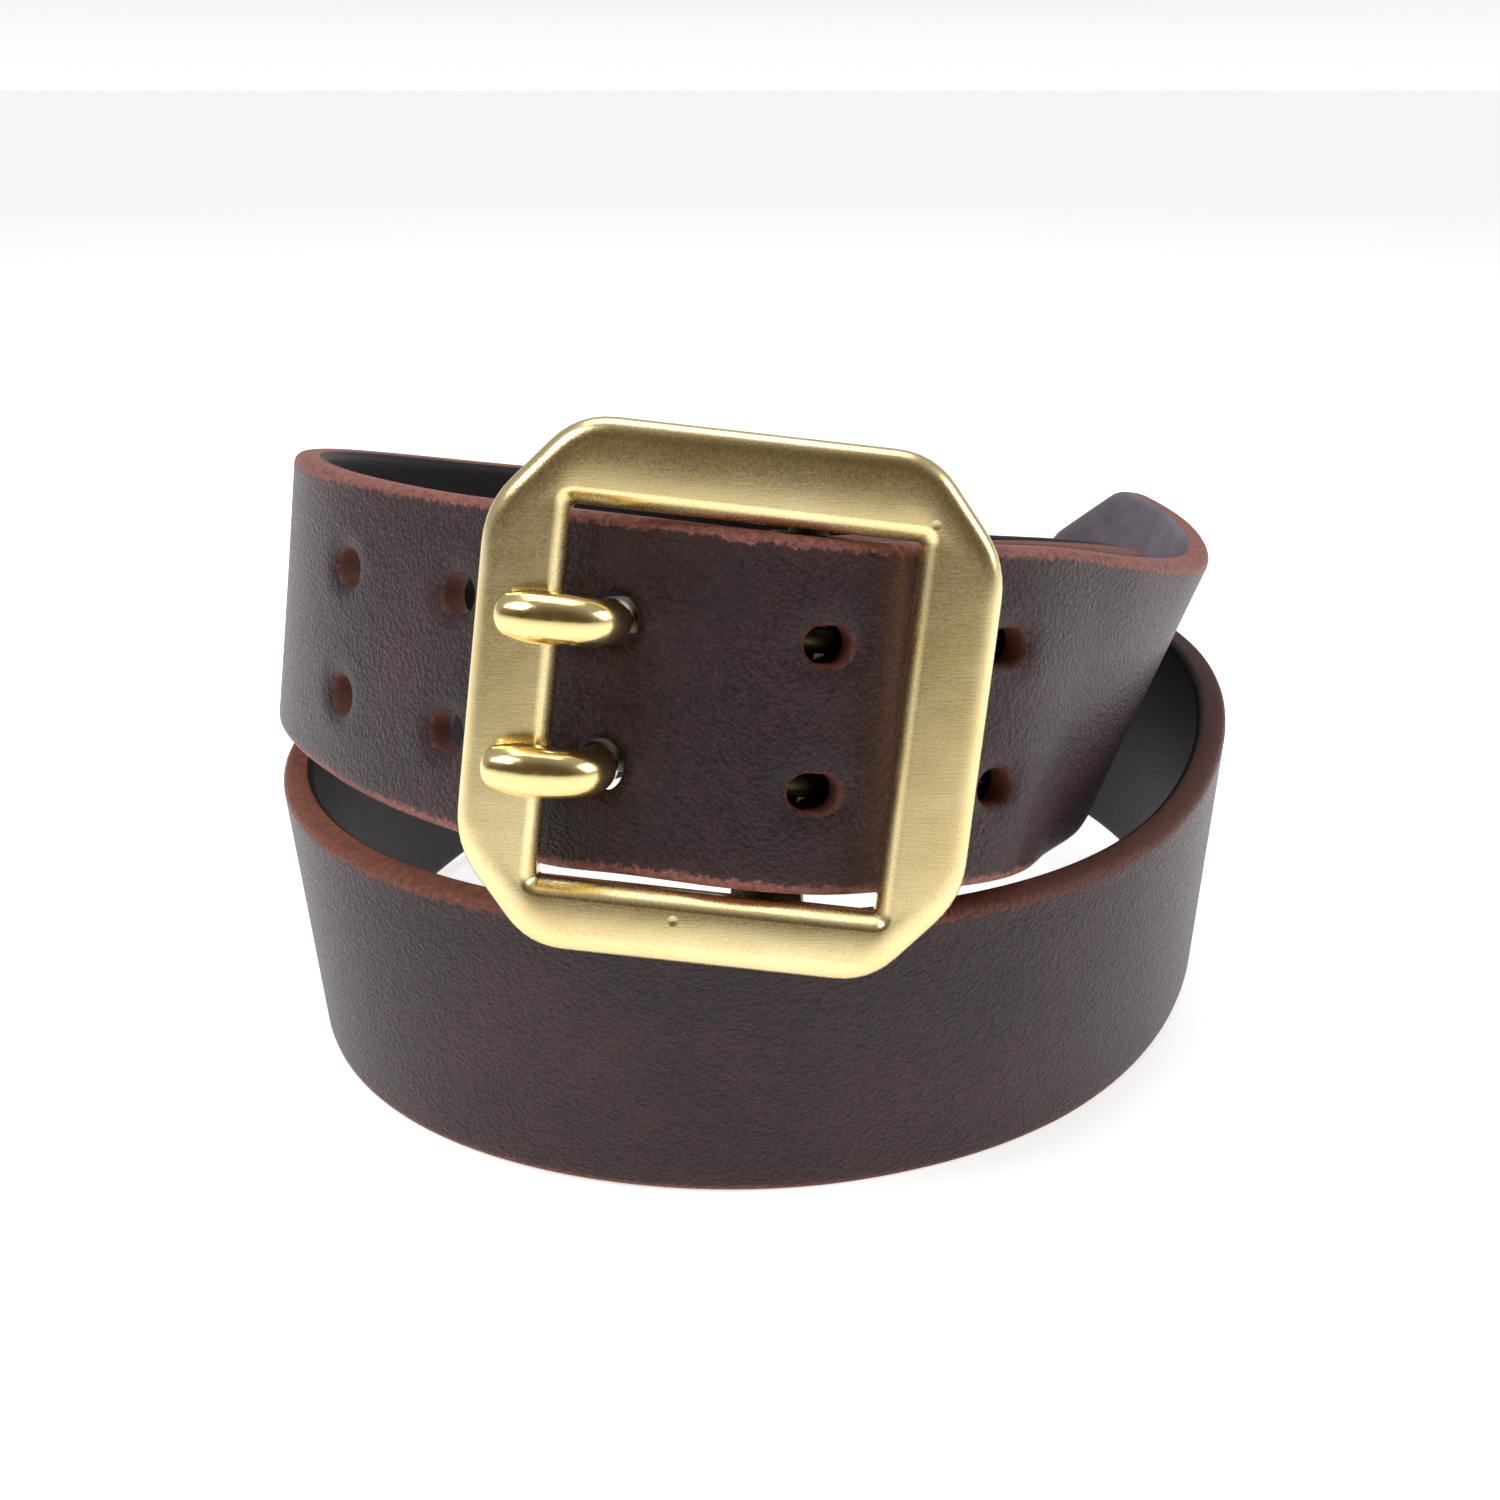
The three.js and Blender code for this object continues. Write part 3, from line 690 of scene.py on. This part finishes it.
def nearest_edge(points, holes):
    """The distance to the nearest cut edge, and the radius that edge is rounded to."""
    distance = outline_distance(points)
    radius = np.full(len(points), 1.3)
    for hole in holes:
        d = hole_distance(points, hole)
        closer = d / hole.rounding < distance / radius
        distance, radius = np.where(closer, d, distance), np.where(closer, hole.rounding, radius)
    return np.maximum(distance, 0), radius


# How the raw edge is coloured along the strap: 0 dark brown, 0.5 orange, 1 dusty pink
EDGE_TONES = [
    (0, 0.3), (250, 0.5), (308, 0.55), (400, 0.42), (465, 0.2), (540, 0.05),
    (640, 0.3), (733, 0.9), (800, 1), (940, 0.85), (981, 0.55),
]


def doubled(values):
    """Values for the points of the grain side, and again for those of the back."""
    return np.concatenate([values, values])


def paint_strap(piece, flat, distance, radius, holes):
    """What the leather's materials read: wear, creases, edge colours, a painted reflection of the brass by
    the frame and a painted sheen at the tip.
    """
    crease, in_hole = np.zeros(len(flat)), np.zeros(len(flat), bool)
    for hole in holes:
        d = hole_distance(flat, hole)
        in_hole |= np.abs(d) < 1.2
        if hole.used:
            crease += np.exp(-((d / 5.0) ** 2)) * smooth(d, 0.4, 1.6)
            beside_window = flat[:, 0] - hole.place - 7
    upper_left = np.exp(-((beside_window / 7) ** 2) - (((flat[:, 1] - 14) / 6) ** 2))
    by_hole = radius < 1.1
    hole_band = smooth(1.2 - distance / radius, 0.2, 1.0) * 0.62
    side_band = 1.0 - 0.5 * np.clip(distance / 1.25, 0, 2)
    place = doubled(flat[:, 0])
    brass_reflection_place = place_of(STRAP, 17.6, THROUGH_PLACE, THROUGH_PLACE + 70)
    for name, values in (
        ("rub", doubled(np.exp(-((distance / 2.2) ** 2)) * np.where(by_hole, 0.0, 0.45))),
        ("crease", doubled(np.clip(crease * 0.7 + upper_left, 0, 1))),
        ("tone", np.where(doubled(in_hole), 0.2, np.interp(place, *zip(*EDGE_TONES)))),
        # warm: a painted reflection of the brass frame, a narrow band across the strap just inside the
        # window's right edge
        ("warm", np.exp(-(((place - brass_reflection_place) / 1.8) ** 2))),
        ("band", doubled(np.where(by_hole, hole_band, side_band))),
        # Painted sheen on the back of the tip, fading in from 918 to 950 mm along the strap
        ("dust", smooth(place, 918, 950)),
    ):
        add_layer(piece, name, values)


def strap_mesh(look, materials):
    """The flat strap as a closed mesh with rounded rims: its grain side, its back and its cut edges."""
    holes = belt_holes() + fold_slots() + screw_holes()
    flat, triangles = cut_strap(look, holes)
    count, number = len(flat), len(triangles)
    distance, radius = nearest_edge(flat, holes)
    half = thickness_at(flat[:, 0]) / 2
    radius = np.minimum(radius, half * 0.9)
    share = np.clip(1 - distance / radius, 0, 1)
    height = half - radius + radius * np.sqrt(np.maximum(1 - share**2, 0))
    swell = np.zeros(count)
    for hole in holes[: 2 * HOLE_PAIRS]:
        d = np.maximum(hole_distance(flat, hole), 0)
        swell -= (0.45 if hole.used else 0.3) * np.exp(-((d / 1.5) ** 2))
        swell += 0.16 * np.exp(-(((d - 2.9) / 1.3) ** 2))
    sag_place = place_of(STRAP, -19, THROUGH_PLACE - 10, THROUGH_PLACE + 40)
    sag = 1.1 * np.exp(-(((flat[:, 0] - sag_place) / 9) ** 2)) * smooth(-flat[:, 1], 11, 19)
    flat = flat - np.column_stack([np.zeros(count), sag])
    grain_side, back = np.column_stack([flat, height + swell]), np.column_stack([flat, -height])
    vertices = np.concatenate([grain_side, back])
    edges = dict.fromkeys((t[k], t[(k + 1) % 3]) for t in triangles for k in range(3))
    faces = [tuple(t) for t in triangles] + [tuple(t[::-1] + count) for t in triangles]
    faces += [(a, a + count, b + count, b) for a, b in edges if (b, a) not in edges]
    piece = make_object("strap_flat", vertices, faces, materials)
    paint_strap(piece, flat, distance, radius, holes)
    mesh = piece.data
    uv = mesh.uv_layers.new(name="strap")
    loops = np.zeros(len(mesh.loops), np.int32)
    mesh.loops.foreach_get("vertex_index", loops)
    coords = vertices[loops][:, :2] * MM
    coords[loops >= count, 1] += 0.06
    uv.data.foreach_set("uv", coords.astype(np.float32).ravel())
    on_edge = np.mean((distance / radius)[triangles], axis=1) < 0.12
    walls = np.full(len(faces) - 2 * number, 2)
    slots = np.concatenate([np.where(on_edge, 2, 0), np.where(on_edge, 2, 1), walls])
    mesh.polygons.foreach_set("material_index", slots.astype(np.int32))
    return piece


def rail():
    """A chain of points along the route, one each millimetre, that carries the strap's axes."""
    places = np.arange(0, math.floor(STRAP.length) + 3, 1.0)
    point, _, across, outward, _ = STRAP.at(places)
    piece = make_object("strap_rail", point * MM, [])
    add_layer(piece, "across", across)
    add_layer(piece, "outward", outward)
    return piece


def group_tree(name, inputs, output):
    """An empty Geometry Nodes group with its named inputs, and the sockets they give."""
    tree = bpy.data.node_groups.new(name, "GeometryNodeTree")
    for label, kind in inputs:
        tree.interface.new_socket(label, in_out="INPUT", socket_type="NodeSocket" + kind)
    tree.interface.new_socket(output, in_out="OUTPUT", socket_type="NodeSocketGeometry")
    group = NodeTree(tree)
    return group, group.node("NodeGroupInput").outputs


def bend_tree():
    """Geometry Nodes that lay a flat strap along a rail of points."""
    inputs = (("Strap", "Geometry"), ("Rail", "Object"), ("Rail Step", "Float"))
    g, entry = group_tree("Bend Along Rail", inputs, "Bent Strap")
    path = g.node("GeometryNodeObjectInfo", Object=entry["Rail"]).outputs["Geometry"]
    place = g.node("GeometryNodeInputPosition").outputs[0]
    flat = g.node("ShaderNodeSeparateXYZ", at={0: place}).outputs
    step = g.math("DIVIDE", flat["X"], entry["Rail Step"])
    lower, part = g.math("FLOOR", step), g.math("FRACT", step)
    upper = g.math("ADD", lower, 1.0)
    vectors = {"data_type": "FLOAT_VECTOR"}

    def sampled(source):
        ends = [
            g.node("GeometryNodeSampleIndex", vectors, Geometry=path, Value=source, Index=index)
            for index in (lower, upper)
        ]
        low, high = (end.outputs["Value"] for end in ends)
        return g.node("ShaderNodeMix", {"data_type": "VECTOR"}, {0: part, 4: low, 5: high}).outputs[1]

    def offset(name, amount):
        axis = sampled(g.node("GeometryNodeInputNamedAttribute", vectors, Name=name).outputs[0])
        for factor in (amount, MM):
            axis = g.node("ShaderNodeVectorMath", {"operation": "SCALE"}, {0: axis}, Scale=factor).outputs[0]
        return axis

    def added(a, b):
        return g.node("ShaderNodeVectorMath", {"operation": "ADD"}, {0: a, 1: b}).outputs[0]

    target = added(added(sampled(place), offset("across", flat["Y"])), offset("outward", flat["Z"]))
    bent = g.node("ShaderNodeSeparateXYZ", at={0: target}).outputs
    resting = g.math("MAXIMUM", bent["Z"], 0.0)
    bent = g.node("ShaderNodeCombineXYZ", X=bent["X"], Y=bent["Y"], Z=resting).outputs[0]
    move = g.node("GeometryNodeSetPosition", Geometry=entry["Strap"], Position=bent).outputs[0]
    realize = g.node("GeometryNodeRealizeInstances", at={0: move}).outputs[0]
    g.node("NodeGroupOutput", at={0: realize})
    return g.tree


def add_nodes(piece, tree, **values):
    modifier = piece.modifiers.new(tree.name, "NODES")
    modifier.node_group = tree
    for item in tree.interface.items_tree:
        key = item.name.replace(" ", "_")
        if item.item_type == "SOCKET" and item.in_out == "INPUT" and key in values:
            modifier[item.identifier] = values[key]
    return modifier


# ---- Buckle ----


def filleted(corners, radii, counts, sides):
    """A closed outline with rounded corners, with a count of points for each corner and each side."""
    total, loop = len(corners), []
    for i in range(total):
        corner, before, after = (np.array(corners[(i + k) % total], float) for k in (0, -1, 1))
        start = corner + unit(before - corner) * radii[i]
        end = corner + unit(after - corner) * radii[i]
        for k in range(counts[i]):
            t = k / max(counts[i] - 1, 1)
            loop.append((1 - t) ** 2 * start + 2 * t * (1 - t) * corner + t * t * end)
        following = np.array(corners[(i + 1) % total], float)
        next_start = following + unit(corner - following) * radii[(i + 1) % total]
        for k in range(1, sides[i]):
            loop.append(end + (next_start - end) * k / sides[i])
    return np.array(loop)


def outer_loop(inset):
    a, b = FRAME_SIZE[0] / 2 - inset, FRAME_SIZE[1] / 2 - inset
    slant = math.hypot(*FRAME_CLIP)
    cut_a = FRAME_CLIP[0] - inset * (FRAME_CLIP[0] + FRAME_CLIP[1] - slant) / FRAME_CLIP[1]
    cut_b = FRAME_CLIP[1] - inset * (FRAME_CLIP[0] + FRAME_CLIP[1] - slant) / FRAME_CLIP[0]
    corners = [
        (a, b - cut_b), (a - cut_a, b), (-a + cut_a, b), (-a, b - cut_b),
        (-a, -b + cut_b), (-a + cut_a, -b), (a - cut_a, -b), (a, -b + cut_b),
    ]
    return filleted(corners, [max(FRAME_FILLET - inset * 0.6, 0.8)] * 8, [7] * 8, [5, 16] * 4)


def inner_loop(outset):
    a, b = WINDOW_SIZE[0] / 2 + outset, WINDOW_SIZE[1] / 2 + outset
    top, bottom = b - WINDOW_DROP, -b - WINDOW_DROP
    corners = [(a, top), (-a, top), (-a, bottom), (a, bottom)]
    return filleted(corners, [0.5 + outset] * 4, [18] * 4, [16] * 4)


def frame_mesh(materials):
    outside = [
        (1.5, 0), (0.7, 0.14), (0.2, 0.5), (0, 1.1), (0, 2.4), (0.08, 3.0), (0.32, 3.55),
        (0.75, 4.0), (1.3, 4.3), (1.9, 4.44), (2.6, 4.5),
    ]
    inside = [
        (1.9, 4.5), (1.6, 4.43), (1.25, 4.2), (0.9, 3.85), (0.55, 3.45), (0.25, 3.05), (0.06, 2.7),
        (0, 2.3), (0, 0.9), (0.12, 0.4), (0.45, 0.1), (1.0, 0),
    ]
    rings = [(outer_loop(d), n) for d, n in outside] + [(inner_loop(d), n) for d, n in inside]
    points = [(x * MM, y * MM, n * MM) for loop, n in rings for x, y in loop]
    faces = ring_faces(len(rings[0][0]), [(r, (r + 1) % len(rings)) for r in range(len(rings))])
    return solid("brass_frame", points, faces, materials, buckle_matrix())


def ears_mesh(materials):
    """Two tongues behind the frame, each with the bar through it."""
    radius, depth, bevel = BAR_RADIUS + 1.9, -BAR_PLACE[1], 0.35
    outline = [(radius, 0.6), (radius, -depth)]
    for a in np.linspace(0.12, np.pi - 0.12, 22):
        outline.append((radius * math.cos(a), -depth - radius * math.sin(a)))
    outline += [(-radius, -depth), (-radius, 0.6)]
    points, faces, size = [], [], len(outline)
    for side in (-1, 1):
        near = side * (WINDOW_SIZE[1] / 2 + EAR_GAP) - WINDOW_DROP
        far = near + side * EAR_THICKNESS
        start = len(points)
        for up, inset in ((near, bevel), (near + side * bevel, 0), (far - side * bevel, 0), (far, bevel)):
            shrink = 1 - inset / radius
            for x, y in outline:
                root = max(y, -depth)
                points.append(((BAR_PLACE[0] + x * shrink) * MM, up * MM, (root + (y - root) * shrink) * MM))
        faces += ring_faces(size, ((0, 1), (1, 2), (2, 3)), start)
        faces += [tuple(range(start, start + size)), tuple(range(start + 3 * size, start + 4 * size))]
    return solid("bar_ears", points, faces, materials, buckle_matrix(), smooth_faces=False)


def lathe(profile, count):
    """A closed turned shape about z, from (radius, height) pairs that start and end on the axis."""
    points, faces = [(0, 0, profile[0][1])], []
    for r, z in profile[1:-1]:
        turn = np.linspace(0, 2 * np.pi, count, endpoint=False)
        points += [(r * math.cos(a), r * math.sin(a), z) for a in turn]
    points.append((0, 0, profile[-1][1]))
    rings, last = len(profile) - 2, len(points) - 1
    for i in range(count):
        j = (i + 1) % count
        faces += [(0, 1 + j, 1 + i), (last, last - count + i, last - count + j)]
        for k in range(rings - 1):
            a = 1 + k * count
            faces.append((a + i, a + j, a + count + j, a + count + i))
    return [(x * MM, y * MM, z * MM) for x, y, z in points], faces


def add_patina(piece, low, high):
    """Darken a brass piece behind the frame, where nothing rubs it bright."""
    places = np.zeros(len(piece.data.vertices) * 3)
    piece.data.vertices.foreach_get("co", places)
    out = in_buckle(places.reshape(-1, 3) / MM)[:, 2]
    add_layer(piece, "patina", 1 - smooth(out, low, high))


def bar_mesh(materials):
    half = WINDOW_SIZE[1] / 2 + EAR_GAP + EAR_THICKNESS
    end = [(0, 0), (1.5, 0), (2.05, 0.2), (BAR_RADIUS, 0.6)]
    profile = [(r, z - half) for r, z in end]
    profile += [(BAR_RADIUS, z) for z in np.linspace(-half + 2, half - 2, 12)]
    profile += [(r, half - z) for r, z in reversed(end)]
    place = buckle_matrix(BAR_PLACE[0], -WINDOW_DROP, BAR_PLACE[1])
    upright = Matrix.Rotation(math.radians(-90), 4, "X")
    return solid("hinge_bar", *lathe(profile, 40), materials, place @ upright)


def prong_line():
    """The line a prong follows, over the frame, through its hole and round the bar, and its length."""
    loop = BAR_RADIUS + CLEARANCE + PRONG_RADIUS
    stops = [
        (-25.8, 7.2), (-22.1, 7.75), (-18.1, 7.75), (-14.9, 6.2), (-13.9, 2.8), (-13.9, -2),
        (-14, -6), (-12.5, -9.4), (-8, -10.6), (-1.8, -10.75),
    ]
    for angle in range(-100, 126, 25):
        a = math.radians(angle)
        stops.append((BAR_PLACE[0] + loop * math.cos(a), BAR_PLACE[1] + loop * math.sin(a)))
    knots = distances_along(np.array(stops))
    return spline(knots, stops), knots[-1]


def prong_mesh(name, side, materials):
    line, length = prong_line()
    table = [
        (2, 2.5), (4, 2.9), (7, 2.9), (10, 2.7), (13, 2.5), (20, 2.4),
        (26, 2.1), (33, 1.8), (38, 1.6), (42, 1.55), (length - 0.4, 1.5), (length, 1.1),
    ]
    nose = np.array([0.03, 0.08, 0.18, 0.32, 0.5, 0.75, 1.05, 1.4, 1.8])
    end = [length - 0.4, length - 0.1, length]
    places = np.concatenate([nose, np.arange(2.3, length - 0.6, 0.55), end])
    radii = np.interp(places, *zip(*table))
    radii[: len(nose)] = 2.42 * np.sqrt(np.clip(1 - ((1.95 - nose) / 1.95) ** 2, 0, 1))
    soft = np.convolve(np.pad(radii, 2, mode="edge"), np.array([1, 2, 3, 2, 1]) / 9, "valid")
    radii[len(nose) + 1 : -len(end)] = soft[len(nose) + 1 : -len(end)]
    value, slope = line(places)
    count, points = 32, []
    for (x, n), (dx, dn), r in zip(value, unit(slope), radii):
        for a in np.linspace(0, 2 * np.pi, count, endpoint=False):
            lift, across = r * math.cos(a), r * math.sin(a)
            points.append(((x + dn * lift) * MM, across * MM, (n - dx * lift) * MM))
    last = len(places) - 1
    faces = ring_faces(count, [(k, k + 1) for k in range(last)])
    faces += [tuple(range(count)), tuple(range(last * count, len(points)))]
    return solid(name, points, faces, materials, buckle_matrix(0, side * ROW_SPACING / 2 - PRONG_ROW, 0))


# ---- Screw posts ----


def fastener_tree():
    """Geometry Nodes that set one turned shape on every spot, turned as the spot says."""
    inputs = (("Spots", "Geometry"), ("Shape", "Object"), ("Finish", "Material"))
    g, entry = group_tree("Set On Spots", inputs, "Set Shapes")
    shape = g.node("GeometryNodeObjectInfo", Object=entry["Shape"]).outputs["Geometry"]
    vectors = {"data_type": "FLOAT_VECTOR"}
    turn = g.node("GeometryNodeInputNamedAttribute", vectors, Name="turn").outputs[0]
    angle = g.node("FunctionNodeEulerToRotation", at={0: turn}).outputs[0]
    spots = {"Points": entry["Spots"], "Instance": shape, "Rotation": angle}
    copies = g.node("GeometryNodeInstanceOnPoints", **spots).outputs[0]
    realize = g.node("GeometryNodeRealizeInstances", at={0: copies}).outputs[0]
    paint = g.node("GeometryNodeSetMaterial", Geometry=realize, Material=entry["Finish"]).outputs[0]
    g.node("NodeGroupOutput", at={0: paint})
    return g.tree


def spot_points(name):
    spots = screw_spots()
    piece = make_object(name, [place * MM for place, *_ in spots], [])
    add_layer(piece, "turn", [Matrix(axes).transposed().to_euler() for _, *axes in spots])
    return piece


# ---- Settings and operators ----


COLOUR = {"subtype": "COLOR", "size": 3, "min": 0, "max": 1}


class BeltLook(bpy.types.PropertyGroup):
    dye_dark: FloatVectorProperty(
        name="Dark Dye", description="The leather's deepest colour", default=(0.023, 0.0105, 0.0132), **COLOUR
    )
    dye_warm: FloatVectorProperty(
        name="Warm Dye", description="The leather's redder colour", default=(0.05, 0.02, 0.0235), **COLOUR
    )
    brass: FloatVectorProperty(
        name="Brass", description="The colour of the cast brass", default=(0.9, 0.75, 0.41), **COLOUR
    )
    grain_scale: FloatProperty(
        name="Grain", description="Pebbles of grain to a millimetre", default=1.7, min=0.2, max=8
    )
    strap_pitch: FloatProperty(
        name="Strap Pitch", description="Millimetres between columns of points", default=2.0, min=1, max=8
    )


class BeltStage(bpy.types.PropertyGroup):
    floor_size: FloatProperty(
        name="Floor", description="Width of the floor", default=60.0, min=1, unit="LENGTH"
    )
    surround: FloatProperty(
        name="Surround", description="Brightness of the white surround", default=1.0, min=0, max=10
    )
    key_power: FloatProperty(
        name="Key Light", description="Power of the light at the upper left", default=3.0, min=0, unit="POWER"
    )
    lens: FloatProperty(
        name="Lens", description="Focal length of the camera", default=41.126, min=1, unit="CAMERA"
    )


class BELT_OT_stage(bpy.types.Operator):
    """Make the floor, the lights and the camera"""

    bl_idname = "belt.stage"
    bl_label = "Stage"
    bl_options = {"REGISTER", "UNDO"}

    def execute(self, context):
        stage = context.scene.belt_stage
        scene = context.scene
        scene.view_settings.view_transform = "Standard"
        camera = bpy.data.objects.new("camera", bpy.data.cameras.new("camera"))
        scene.collection.objects.link(camera)
        camera.data.sensor_width = 36
        camera.data.lens = stage.lens
        camera.data.clip_start, camera.data.clip_end = 0.01, 50
        camera.location = Vector((SHIFT[0], SHIFT[1] + CAMERA_PLACE[0], CAMERA_PLACE[1])) * MM
        camera.rotation_euler = (math.radians(90 - CAMERA_TILT), 0, 0)
        scene.camera = camera
        edge = stage.floor_size / 2
        corners = [(-edge, -edge, 0), (edge, -edge, 0), (edge, edge, 0), (-edge, edge, 0)]
        floor = make_object("floor", corners, [(0, 1, 2, 3)])
        s = Shader("pale_floor")
        s.set(Base_Color=(0.86, 0.86, 0.86, 1), Roughness=0.6, Specular_IOR_Level=0.2)
        s.set(Emission_Color=(1, 1, 1, 1), Emission_Strength=0.62)
        floor.data.materials.append(s.material)
        world = bpy.data.worlds.new("studio")
        world.use_nodes = True
        scene.world = world
        self.surround(world.node_tree, stage.surround)
        for name, place, size, power in (
            ("key", (-0.45, -0.35, 0.75), (0.35, 0.35), stage.key_power),
            ("fill", (0.75, -0.1, 0.45), (0.4, 0.4), stage.key_power * 0.6),
            ("top", (0.0, 0.25, 0.95), (0.7, 0.7), stage.key_power * 1.2),
        ):
            light = bpy.data.objects.new(name, bpy.data.lights.new(name, "AREA"))
            light.data.shape, light.data.size, light.data.size_y = "RECTANGLE", *size
            light.data.energy = power
            light.location = place
            aim = Vector((0, 0, 0.05)) - Vector(place)
            light.rotation_euler = aim.to_track_quat("-Z", "Y").to_euler()
            scene.collection.objects.link(light)
        return {"FINISHED"}
    @staticmethod
    def surround(tree, brightness):
        """A white room behind the belt and round its sides, dim and warm above and behind the camera."""
        world = NodeTree(tree)
        place = world.node("ShaderNodeTexCoord").outputs["Generated"]
        parts = world.node("ShaderNodeSeparateXYZ", at={0: place}).outputs
        soft = {"interpolation_type": "SMOOTHSTEP"}
        height = world.node("ShaderNodeMapRange", soft, Value=parts["Z"], From_Min=0.0, From_Max=0.16)
        front = world.node("ShaderNodeMapRange", soft, Value=parts["Y"], From_Min=-0.8, From_Max=0.1)
        room = world.mix(front.outputs[0], (0.1, 0.075, 0.045, 1), (0.42, 0.42, 0.44, 1))
        background = tree.nodes["Background"]
        world.feed(background, "Color", world.mix(height.outputs[0], (1, 1, 1, 1), room))
        world.feed(background, "Strength", brightness)


class BELT_OT_strap(bpy.types.Operator):
    """Cut the strap flat and wind it along its route"""

    bl_idname = "belt.strap"
    bl_label = "Strap"
    bl_options = {"REGISTER", "UNDO"}

    def execute(self, context):
        look = context.scene.belt_look
        flat = strap_mesh(look, [grain_leather(look), flesh_leather(), raw_edge()])
        path = rail()
        add_nodes(flat, bend_tree(), Rail=path, Rail_Step=1.0)
        strap = baked(flat, "belt_strap")
        bpy.data.objects.remove(path, do_unlink=True)
        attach(strap, "strap")
        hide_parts("strap")
        return {"FINISHED"}


class BELT_OT_buckle(bpy.types.Operator):
    """Make the buckle's frame, its ears and the bar"""

    bl_idname = "belt.buckle"
    bl_label = "Buckle"
    bl_options = {"REGISTER", "UNDO"}

    def execute(self, context):
        brass = satin_brass(context.scene.belt_look)
        shapes = ((frame_mesh, "buckle_frame"), (ears_mesh, "buckle_frame"), (bar_mesh, "buckle_bar"))
        for shape, node in shapes:
            piece = shape([brass])
            add_patina(piece, -1.5, 0.3)
            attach(piece, "buckle")
            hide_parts(node)
        return {"FINISHED"}


class BELT_OT_prongs(bpy.types.Operator):
    """Make the two prongs"""

    bl_idname = "belt.prongs"
    bl_label = "Prongs"
    bl_options = {"REGISTER", "UNDO"}

    def execute(self, context):
        polished = polished_brass()
        for node, side in (("prong_upper", 1), ("prong_lower", -1)):
            prong = prong_mesh("brass_" + node, side, [polished])
            add_patina(prong, -1.5, 1.2)
            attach(prong, node)
            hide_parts(node)
        return {"FINISHED"}


class BELT_OT_fasteners(bpy.types.Operator):
    """Set the screw posts and screws that hold the fold shut"""

    bl_idname = "belt.fasteners"
    bl_label = "Screw Posts"
    bl_options = {"REGISTER", "UNDO"}

    def execute(self, context):
        finish = satin_brass(context.scene.belt_look)
        finish.name = "fastener_brass"
        stack = STRAP_THICKNESS + FLAP_GAP + FLAP_THICKNESS
        post = [
            (0, -0.6), (1.7, -0.6), (1.7, -stack), (2.3, -stack), (2.3, 0.3), (3.8, 0.3),
            (4, 0.5), (4, 0.9), (3.6, 1.2), (2.4, 1.3), (0, 1.3),
        ]
        seat = -stack - 0.3
        screw = [
            (0, seat - 1.5), (1.6, seat - 1.48), (2.7, seat - 1.25), (3.1, seat - 0.8), (3.2, seat - 0.3),
            (3.1, seat), (1.4, seat), (1.4, -1.2), (0, -1.2),
        ]
        tree = fastener_tree()
        for name, profile, nodes in (("screw_posts", post, "screw_post_"), ("screws", screw, "screw_")):
            shape = solid(name + "_shape", *lathe(profile, 32), [finish])
            spots = spot_points(name + "_spots")
            add_nodes(spots, tree, Shape=shape, Finish=finish)
            made = baked(spots, name)
            bpy.data.objects.remove(shape, do_unlink=True)
            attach(made, "strap")
            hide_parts(*(nodes + str(i) for i in range(1, 5)))
        return {"FINISHED"}


class BELT_PT_panel(bpy.types.Panel):
    """The belt's pieces and their settings"""

    bl_idname = "BELT_PT_panel"
    bl_label = "Leather Belt"
    bl_space_type = "VIEW_3D"
    bl_region_type = "UI"
    bl_category = "Belt"

    def draw(self, context):
        layout = self.layout
        for settings in (context.scene.belt_look, context.scene.belt_stage):
            for name in type(settings).__annotations__:
                layout.prop(settings, name)
        for operator in OPERATORS:
            layout.operator(operator.bl_idname)


OPERATORS = (BELT_OT_stage, BELT_OT_strap, BELT_OT_buckle, BELT_OT_prongs, BELT_OT_fasteners)
CLASSES = (BeltLook, BeltStage, *OPERATORS, BELT_PT_panel)


def register():
    for cls in CLASSES:
        bpy.utils.register_class(cls)
    bpy.types.Scene.belt_look = PointerProperty(type=BeltLook)
    bpy.types.Scene.belt_stage = PointerProperty(type=BeltStage)


def unregister():
    del bpy.types.Scene.belt_look
    del bpy.types.Scene.belt_stage
    for cls in reversed(CLASSES):
        bpy.utils.unregister_class(cls)


def main():
    register()
    bpy.ops.belt.stage()
    bpy.ops.belt.strap()
    bpy.ops.belt.buckle()
    bpy.ops.belt.prongs()
    bpy.ops.belt.fasteners()


if __name__ == "__main__":
    main()
